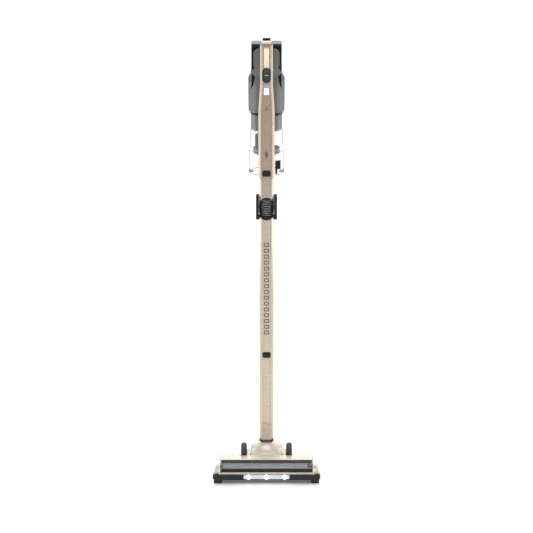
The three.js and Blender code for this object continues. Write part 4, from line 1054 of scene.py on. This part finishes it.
# width, depth and height of the saddle's rings
saddleRings = ((81, 60, 6), (81.6, 58, 20), (80, 55, 30), (74, 49, 38),
               (64, 43, 43.5), (50, 38, 47.3), (39, 35, 49.4))
saddle = loft([squircle(*ring) for ring in saddleRings])
fuse(barrel, saddle)
grow = barrel.modifiers.new("even", "REMESH")
grow.mode, grow.voxel_size = "VOXEL", 0.9
soften = barrel.modifiers.new("soften", "SMOOTH")
soften.factor, soften.iterations = 0.5, 14
settle(barrel)
carve(barrel, turned(softProfile([(0, -38), (33, -38), (33, 38), (0, 38)], 6), "x", 96),
      block(-20, 20, -40, -24, -22, 0), disc(15.6, 0, 60, "z"))
fuse(barrel, disc(9, -45.6, -37, "x"), disc(9, 37, 45.6, "x"))
publish(barrel, "yokeShell", shellLacquer, "yoke_shell", sharp=32, even=False)
refined("neck_collar", blackGloss, "neckCollar", width=0.5)
print("neck made")

# handheld unit: the stations hold height, width, front face and split line
spineForm = {"wall": 2.2, "rings": 100,
             "stations": [(0, 39.3, -22, 0), (158, 39.3, -22, 0), (186, 37.5, -22, -1), (212, 34, -22, -4),
                          (236, 31, -21.4, -6.5), (262, 31, -18.6, -4),
                          (288, 31, -14.2, 0.4), (312, 31, -9, 5.6), (325, 31, -5.4, 9.2),
                          (332, 29, -1, 12), (335, 24, 4, 14)]}


def stationAt(height):
    # smooth values between the spine's stations
    rows = spineForm["stations"]
    k = max(i for i in range(len(rows) - 1) if rows[i][0] <= height or i == 0)
    a, b = rows[k], rows[k + 1]
    before, after = rows[max(k - 1, 0)], rows[min(k + 2, len(rows) - 1)]
    t = (height - a[0]) / (b[0] - a[0])
    out = []
    for i in (1, 2, 3):
        slopeA = (b[i] - before[i]) / max(b[0] - before[0], 1e-6) * (b[0] - a[0]) if k > 1 else 0
        slopeB = (after[i] - a[i]) / max(after[0] - a[0], 1e-6) * (b[0] - a[0]) if k > 0 else 0
        out.append((2 * t**3 - 3 * t**2 + 1) * a[i] + (t**3 - 2 * t**2 + t) * slopeA
                   + (3 * t**2 - 2 * t**3) * b[i] + (t**3 - t**2) * slopeB)
    return out


def frontRing(height, inset, shift=0.0):
    width, front, split = stationAt(height)
    w, f = width / 2 - inset, front + inset
    cx, cy = 6.5 - inset * 0.4, min(10, (split - front) * 0.62) - inset * 0.4
    back = split + (1 if inset > 0 else 0)
    ring = rounded([(w, back), (-w, back), (-w, f + cy), (-w + cx, f), (w - cx, f), (w, f + cy)],
                   [0, 0, 6, 6, 6, 6], 6)
    return [Vector((p[0], p[1], base + height + shift)) for p in ring]


topHeight = spineForm["stations"][-1][0]
heights = [topHeight * (i / spineForm["rings"]) for i in range(spineForm["rings"] + 1)]
spine = loft([frontRing(h, 0) for h in heights])
innerHeights = [h for h in heights if h < topHeight - 4]
hollowCore = loft([frontRing(h, spineForm["wall"], -1 if i == 0 else 0)
                   for i, h in enumerate(innerHeights)])
rockerForm = {"y": -19.2, "z": 257, "tilt": -0.14, "halfWidth": 10.2, "halfHeight": 18, "corner": 10.1}
rockerPlace = Matrix.Translation((0, rockerForm["y"],
                                  base + rockerForm["z"])) @ Matrix.Rotation(rockerForm["tilt"], 4, "X")


def pillTool(grow, y0, y1):
    w, h = rockerForm["halfWidth"] + grow, rockerForm["halfHeight"] + grow
    made = prism(rectangle(-w, -h, w, h, rockerForm["corner"] + grow, 16), "y", y0, y1)
    made.data.transform(rockerPlace)
    return made


displayLow, displayHigh = nodeBox("display_lens")
carve(spine, hollowCore, pillTool(0.3, -8, 8), slotTool(displayLow.x - 0.3, displayHigh.x + 0.3,
        displayLow.z - 0.3, displayHigh.z + 0.3, 2.8, -40, -12),
      boxTool("handheld_release_button", 0.6, 4, -40, 0))
publish(spine, "spineCover", champagne, "spine_cover", sharp=34, even=False)
bezel = carve(pillTool(0, -2.6, 4), pillTool(-1.6, -6, 6))
publish(bevelled(bezel, 0.4, 4), "powerBezel", blackGloss, "power_bezel")
rocker = pillTool(-2.1, -2.2, 3)
publish(bevelled(rocker, 0.8, 5), "powerRocker", blackGloss, "power_rocker")
barMark = slotTool(-4.6, 4.6, -0.6, 0.6, 0.5, -2.45, -1.9)
barMark.data.transform(rockerPlace)
publish(bevelled(barMark, 0.12, 2), "powerMark", markWhite, None,
        body="power_rocker")
screen = slotTool(displayLow.x, displayHigh.x, displayLow.z, displayHigh.z,
                  2.5, displayLow.y, displayLow.y + 2)
publish(bevelled(screen, 0.3, 3), "displayLens", displayLilac, "display_lens")
panel = slotTool(-5.3, 5.3, displayLow.z + 1.2, displayLow.z + 16.5, 1.6,
                 displayLow.y - 0.25, displayLow.y + 0.6)
carve(panel, slotTool(-1.6, 1.6, displayLow.z + 4.5, displayLow.z + 12.5,
                      1.2, displayLow.y - 1, displayLow.y - 0.05))
publish(bevelled(panel, 0.12, 2), "displayPanel", displayWhite, None, body="handheld")
print("spine made")

refined("spine_rear_shell", graphite, "spineRearShell", width=0.8, segments=4)
gripLow, gripHigh = nodeBox("grip_back")


def gripRing(height):
    width, front, split = stationAt(height)
    w, f, b = width / 2, split + 0.3, front + 31
    ring = rounded([(-w, f), (w, f), (w, b - 9), (w - 6, b), (-w + 6, b), (-w, b - 9)],
                   [0, 0, 9, 8, 8, 9], 8)
    return [Vector((p[0], p[1], base + height)) for p in ring]


gripLines = {"count": 9, "start": 228, "pitch": 8.5, "half": 0.6, "depth": 30.35}
gripHeights = [gripLow.z - base + (gripHigh.z - gripLow.z) * i / 60 for i in range(61)]
grip = loft([gripRing(h) for h in gripHeights])
for i in range(gripLines["count"]):
    h = base + gripLines["start"] + i * gripLines["pitch"]
    carve(grip, block(-30, 30, stationAt(h - base)[1] + gripLines["depth"], 60,
                      h - gripLines["half"], h + gripLines["half"]))
publish(bevelled(grip, 0.6, 3), "gripBack", blackPlastic, "grip_back")

housingForm = {"half": 45.0, "corner": 28.0, "wall": 2.6, "shoulder": 236, "top": 269,
               "topHalf": 25, "vents": 5, "bore": 40.6, "boreTop": 168,
               "neck": 24, "neckTop": 199}
caseLow, caseHigh = nodeBox("battery_case")
capTopLow, capTopHigh = nodeBox("battery_end_cap")
bayFront = caseLow.y
hBottom, hTop = nodeBox("motor_housing")[0].z, base + housingForm["top"]


def housingPlan(inset):
    r = housingForm["half"] - inset
    return rectangle(-r, binAxis - r, r, binAxis + r, housingForm["corner"] - inset, 16)


housing = prism(housingPlan(0), "z", hBottom, hTop)
soft = housing.modifiers.new("rims", "BEVEL")
soft.width, soft.segments, soft.limit_method, soft.angle_limit = 5, 8, "ANGLE", math.radians(60)
settle(housing)
for side in (1, -1):
    outer, inner = side * (housingForm["half"] + 1), side * housingForm["topHalf"]
    corners = ((outer, base + housingForm["shoulder"]), (outer, hTop + 60),
               (inner, hTop + 60), (inner, hTop))
    carve(housing, prism([Vector(p) for p in corners], "y", 0, 200))
fuse(housing, prism(rectangle(-32, hTop - 12, 32, caseHigh.z - 2, 14, 12),
                    "y", bayFront - 3.6, bayFront - 0.6))


def fingerSlope():
    # everything in front of the housing's face, which bulges across and leans back towards the top
    rings = []
    for height in [148, 154, 160, 170, 180, 190, 200, 210, 220, 230, 238, 244, 250, 256, 262, 330, 400]:
        lean = min(max((height - 160) / 80, 0), 1)
        lean = lean + 0.06 * math.sin(lean * math.pi)
        bulge = (1 - min(max((height - 222) / 36, 0), 1)) / 118
        spots = [Vector((x, 23 + (bayFront - 26.6) * lean + x * x * bulge, base + height))
                 for x in range(-60, 61, 4)]
        rings.append([Vector((60, -30, base + height)), Vector((-60, -30, base + height))] + spots)
    return loft(rings)


carve(housing, fingerSlope(), block(caseLow.x - 0.6, caseHigh.x + 0.6, bayFront - 0.3,
                                    caseHigh.y + 0.3, caseLow.z - 0.3, 2000),
      disc(housingForm["bore"], hBottom - 1, base + housingForm["boreTop"], "z", axisSpot, 0, 96),
      disc(housingForm["neck"], base + 160, base + housingForm["neckTop"], "z", axisSpot, 0, 72),
      overlapOf(prism(housingPlan(housingForm["wall"]), "z", hBottom, base + housingForm["neckTop"]),
                block(-60, 60, bayFront + 2, 200, 0, 2000)))
for i in range(housingForm["vents"]):
    z = base + 166 + i * 7
    carve(housing, slotTool(-26, 26, z, z + 3, 1.4, binAxis + 30, binAxis + 60))
bridge = block(-13, 13, 18, bayFront - 2, caseHigh.z - 18, caseHigh.z - 4, 0)
carve(bridge, loft([[p + (p - Vector((0, 6, p.z))) * 0.012 for p in gripRing(h)]
                    for h in [gripHeights[0], *gripHeights[20:]]]))
fuse(housing, bridge)
publish(bevelled(housing, 0.7, 3, 34), "motorHousing", graphite, "motor_housing")
ringLow, ringHigh = nodeBox("housing_ring")
publish(ringPiece(34, 41, ringLow.z, ringHigh.z, "z", axisSpot, 0.8, 128),
        "housingRing", blackPlastic, "housing_ring")
refined("inlet_duct", graphite, "inletDuct", width=0.8, segments=3)
for node, finish, name in (("fan_motor", steel, "fanMotor"),
                           ("exhaust_filter", filterPaper, "exhaustFilter"),
                           ("fan_impeller", greyPlastic, "fanImpeller"),
                           ("lower_tube_plug", blackPlastic, "lowerTubePlug"),
                           ("upper_tube_plug", blackPlastic, "upperTubePlug")):
    refined(node, finish, name, width=0.4, segments=2)
print("housing made")

# battery: case, end cap with a grey inlay, latch with grip lines and the cells inside
case = prism(rectangle(caseLow.x, caseLow.y, caseHigh.x, caseHigh.y, 5, 8), "z", caseLow.z, caseHigh.z)
carve(case, prism(rectangle(caseLow.x + 2, caseLow.y + 2, caseHigh.x - 2, caseHigh.y - 2, 3.4, 6),
                  "z", caseLow.z + 2, caseHigh.z + 1))
publish(bevelled(case, 0.5, 3), "batteryCase", caseBlack, "battery_case")
endCap = prism(rectangle(capTopLow.x, capTopLow.y, capTopHigh.x, capTopHigh.y, 5, 8),
               "z", capTopLow.z, capTopHigh.z)
rim = endCap.modifiers.new("rim", "BEVEL")
rim.width, rim.segments, rim.limit_method, rim.angle_limit = 1.6, 5, "ANGLE", math.radians(60)
settle(endCap)
tabLow, tabHigh = nodeBox("battery_latch")
carve(endCap, block(tabLow.x - 0.6, tabHigh.x + 0.6, tabLow.y - 0.6,
                    capTopHigh.y + 1, capTopLow.z + 0.7, capTopHigh.z + 9),
      prism(rectangle(-31, capTopLow.y + 4, 31, tabLow.y - 4, 5, 8), "z",
            capTopHigh.z - 0.8, capTopHigh.z + 2))
publish(bevelled(endCap, 0.25, 2), "batteryEndCap", blackPlastic, "battery_end_cap")
inlay = prism(rectangle(-35, capTopLow.y + 1.6, 35, capTopHigh.y - 1.6, 4, 8),
              "z", capTopHigh.z - 0.75, capTopHigh.z + 0.35)
carve(inlay, block(tabLow.x - 1.2, tabHigh.x + 1.2, tabLow.y - 1.2,
                   capTopHigh.y + 1, capTopLow.z, capTopHigh.z + 9))
publish(bevelled(inlay, 0.3, 3), "batteryInlay", bandGrey, None, body="battery")
tab = prism(rectangle(tabLow.y, tabLow.z, tabHigh.y, tabHigh.z, 2.5, 6), "x", tabLow.x, tabHigh.x)
for i in range(4):
    z = tabHigh.z - 2.4 - i * 1.8
    carve(tab, block(-12, 12, tabLow.y - 1, tabLow.y + 0.5, z - 0.45, z + 0.45))
publish(bevelled(tab, 0.6, 4), "batteryLatch", blackPlastic, "battery_latch")
refined("battery_cells", cellSleeve, "batteryCells", width=0.6, segments=3)
print("battery made")

# dust bin: clear shell, bright collar, sieve, cone, filter, door and latch
binForm = {"wall": 2.0, "neck": 38.5, "upper": 40.0, "lower": 44.5}
bottomZ, flareLow, flareHigh, shellTop = base - 3, base + 55, base + 62, base + 109.2
u, l, t = binForm["upper"], binForm["lower"], binForm["wall"]
shell = turned(softProfile([(l - t, bottomZ), (l, bottomZ), (l, flareLow), (u, flareHigh),
                            (u, shellTop), (u - t, shellTop), (u - t, flareHigh - 1),
                            (l - t, flareLow - 1), (l - t, bottomZ)], [0.4, 0.4, 5, 5, 0.4, 0.4, 5, 5], 6),
                            "z", 144, axisSpot)
inletLow, inletHigh = nodeBox("inlet_duct")
carve(shell, block(inletLow.x + 2.5, inletHigh.x - 2.5, 10, binAxis - 12,
                   inletLow.z + 2.5, inletHigh.z - 2.5))
lugHalf, earWidth, hingeY = 9.0, 3.5, binAxis + l + 4
for side in (1, -1):
    x0, x1 = sorted((side * (lugHalf + 0.3), side * (lugHalf + 0.3 + earWidth)))
    fuse(shell, block(x0, x1, binAxis + l - 1.4, hingeY + 3, bottomZ, bottomZ + 8),
         block(x0, x1, binAxis + l + 0.6, hingeY + 3, bottomZ - 5, bottomZ + 1))
fuse(shell, disc(1.6, -lugHalf - earWidth, lugHalf + earWidth, "x", (0, hingeY, bottomZ - 1)))
publish(shell, "binShell", clearPlastic, "bin_shell", sharp=38)
for side, word in ((1, "Right"), (-1, "Left")):
    wedge = prism([Vector(p) for p in ((side * 31, bottomZ + 0.4), (side * (l - 0.6), bottomZ + 0.4),
                                       (side * (l - 0.6), bottomZ + 6.5))], "y", binAxis - 8, binAxis + 8)
    wedge = overlapOf(wedge, disc(l - 2.3, bottomZ, bottomZ + 20, "z", axisSpot, 0, 96))
    publish(bevelled(wedge, 0.3, 2), "binFoot" + word, blackPlastic, None,
            body="dust_bin")
# three thin rings on the bin's bottom, top and flare: painted shade along its edges
for number, (radius, low, high) in enumerate(((l, bottomZ, bottomZ + 1.6),
        (u + 0.25, shellTop - 2.2, shellTop), (l + 0.1, flareLow - 1.2, flareLow))):
    publish(ringPiece(radius - 2.05, radius + 0.12, low, high, "z", axisSpot, 0.2, 144),
            "binRim" + str(number + 1), paintedEdgeShade, None,
            body="dust_bin")
# thin strips down the bin's left and right sides: painted shade where its outline is
for side, word in ((1, "Right"), (-1, "Left")):
    shadeStrip = block(*sorted((side * (l - 1.9), side * (l + 0.3))), binAxis - 0.9,
                  binAxis + 0.9, bottomZ + 1.8, flareLow - 1.4, 0.4)
    shadeStripTop = block(*sorted((side * (u - 1.9), side * (u + 0.3))), binAxis - 0.9,
                     binAxis + 0.9, flareHigh, shellTop - 2.4, 0.4)
    publish(shadeStrip, "binGuide" + word, paintedEdgeShade, None, body="dust_bin")
    publish(shadeStripTop, "binGuideTop" + word, paintedEdgeShade, None, body="dust_bin")
neckRadius = binForm["neck"]
publish(turned(softProfile([(35.4, shellTop + 0.3), (neckRadius, shellTop + 0.3),
                            (neckRadius, collarHigh.z), (35.4, collarHigh.z),
                            (35.4, shellTop + 0.3)], 0.5, 4), "z", 144, axisSpot),
                            "binCollar", collarTrim, "bin_collar")
refined("separator_can", meshSteel, "separatorCan", width=0.3, segments=2)
refined("pleated_filter", filterPaper, "pleatedFilter", width=0.3, segments=2)
cone = turned(softProfile([(13.5, base + 50), (13.5, base + 47), (31, base + 45), (33.5, base + 47),
                           (33.5, base + 59), (31.8, base + 60), (31.8, base + 49),
                           (16, base + 51), (19.5, base + 109.5), (18, base + 109.5), (13.5, base + 50)],
                           0.7, 4), "z", 128, axisSpot)
publish(cone, "cycloneCone", conePlastic, "cyclone_cone")
doorTop = bottomZ - 0.3
dish = turned(softProfile([(0, doorTop - 5.5), (l - 7.5, doorTop - 8), (l - 4.5, doorTop - 8),
                           (l, doorTop - 1.5), (l, doorTop), (l - 7, doorTop), (l - 9, doorTop - 2.6),
                           (0, doorTop - 2.6)], 1.4, 5), "z", 144, axisSpot)
lug = block(-lugHalf, lugHalf, binAxis + l - 6, hingeY + 3, doorTop - 4, doorTop)
fuse(dish, lug)
carve(dish, disc(1.9, -20, 20, "x", (0, hingeY, bottomZ - 1)))
publish(bevelled(dish, 0.25, 2), "binDoor", clearPlastic, "bin_door")
refined("bin_latch", blackPlastic, "binLatch", width=0.9, segments=4)
print("bin made")

# a plain row of hollow blocks up the lower tube, in place of lettering, and two plain shapes on the spine
markForm = {"count": 16, "pitch": 15.4, "halfWidth": 6.4, "halfHeight": 5.2, "stroke": 2.4, "middle": 467.0}
hollowBlock = slotTool(-markForm["halfWidth"], markForm["halfWidth"], -markForm["halfHeight"],
                       markForm["halfHeight"], 2.2, -0.1, 0.1)
carve(hollowBlock, slotTool(-markForm["halfWidth"] + markForm["stroke"],
                            markForm["halfWidth"] - markForm["stroke"],
                            -markForm["halfHeight"] + markForm["stroke"],
                            markForm["halfHeight"] - markForm["stroke"], 1.0, -1, 1))
repeated(hollowBlock, markGrey, stickPlace @ Matrix.Translation((0, tubeFront - 0.02, markForm["middle"])),
         "tubeMarks", "lower_tube",
         "black_plastic", **{"Rings": markForm["count"], "Ring Step": markForm["pitch"]})
lozenge = prism(rounded([(0, -9.5), (4.2, 0), (0, 9.5), (-4.2, 0)], 0.8, 4), "y", -22.12, -21.9)
carve(lozenge, prism([Vector(p) for p in ((0, -5), (1.9, 0), (0, 5), (-1.9, 0))], "y", -23, -21))
lozenge.data.transform(Matrix.Translation((0, 0, base + 62)))
publish(lozenge, "spineLozenge", markBlack, None, body="handheld", even=False)
for number in range(3):
    bar = slotTool(-4.4 + number * 1.1, 4.4 - number * 1.1, -0.55, 0.55, 0.5, -22.1, -21.9)
    bar.data.transform(Matrix.Translation((0, 0, base + 174 + number * 3.4)))
    publish(bar, "spineBar" + str(number + 1), markGrey, None, body="handheld",
            even=False)
print("marks made")
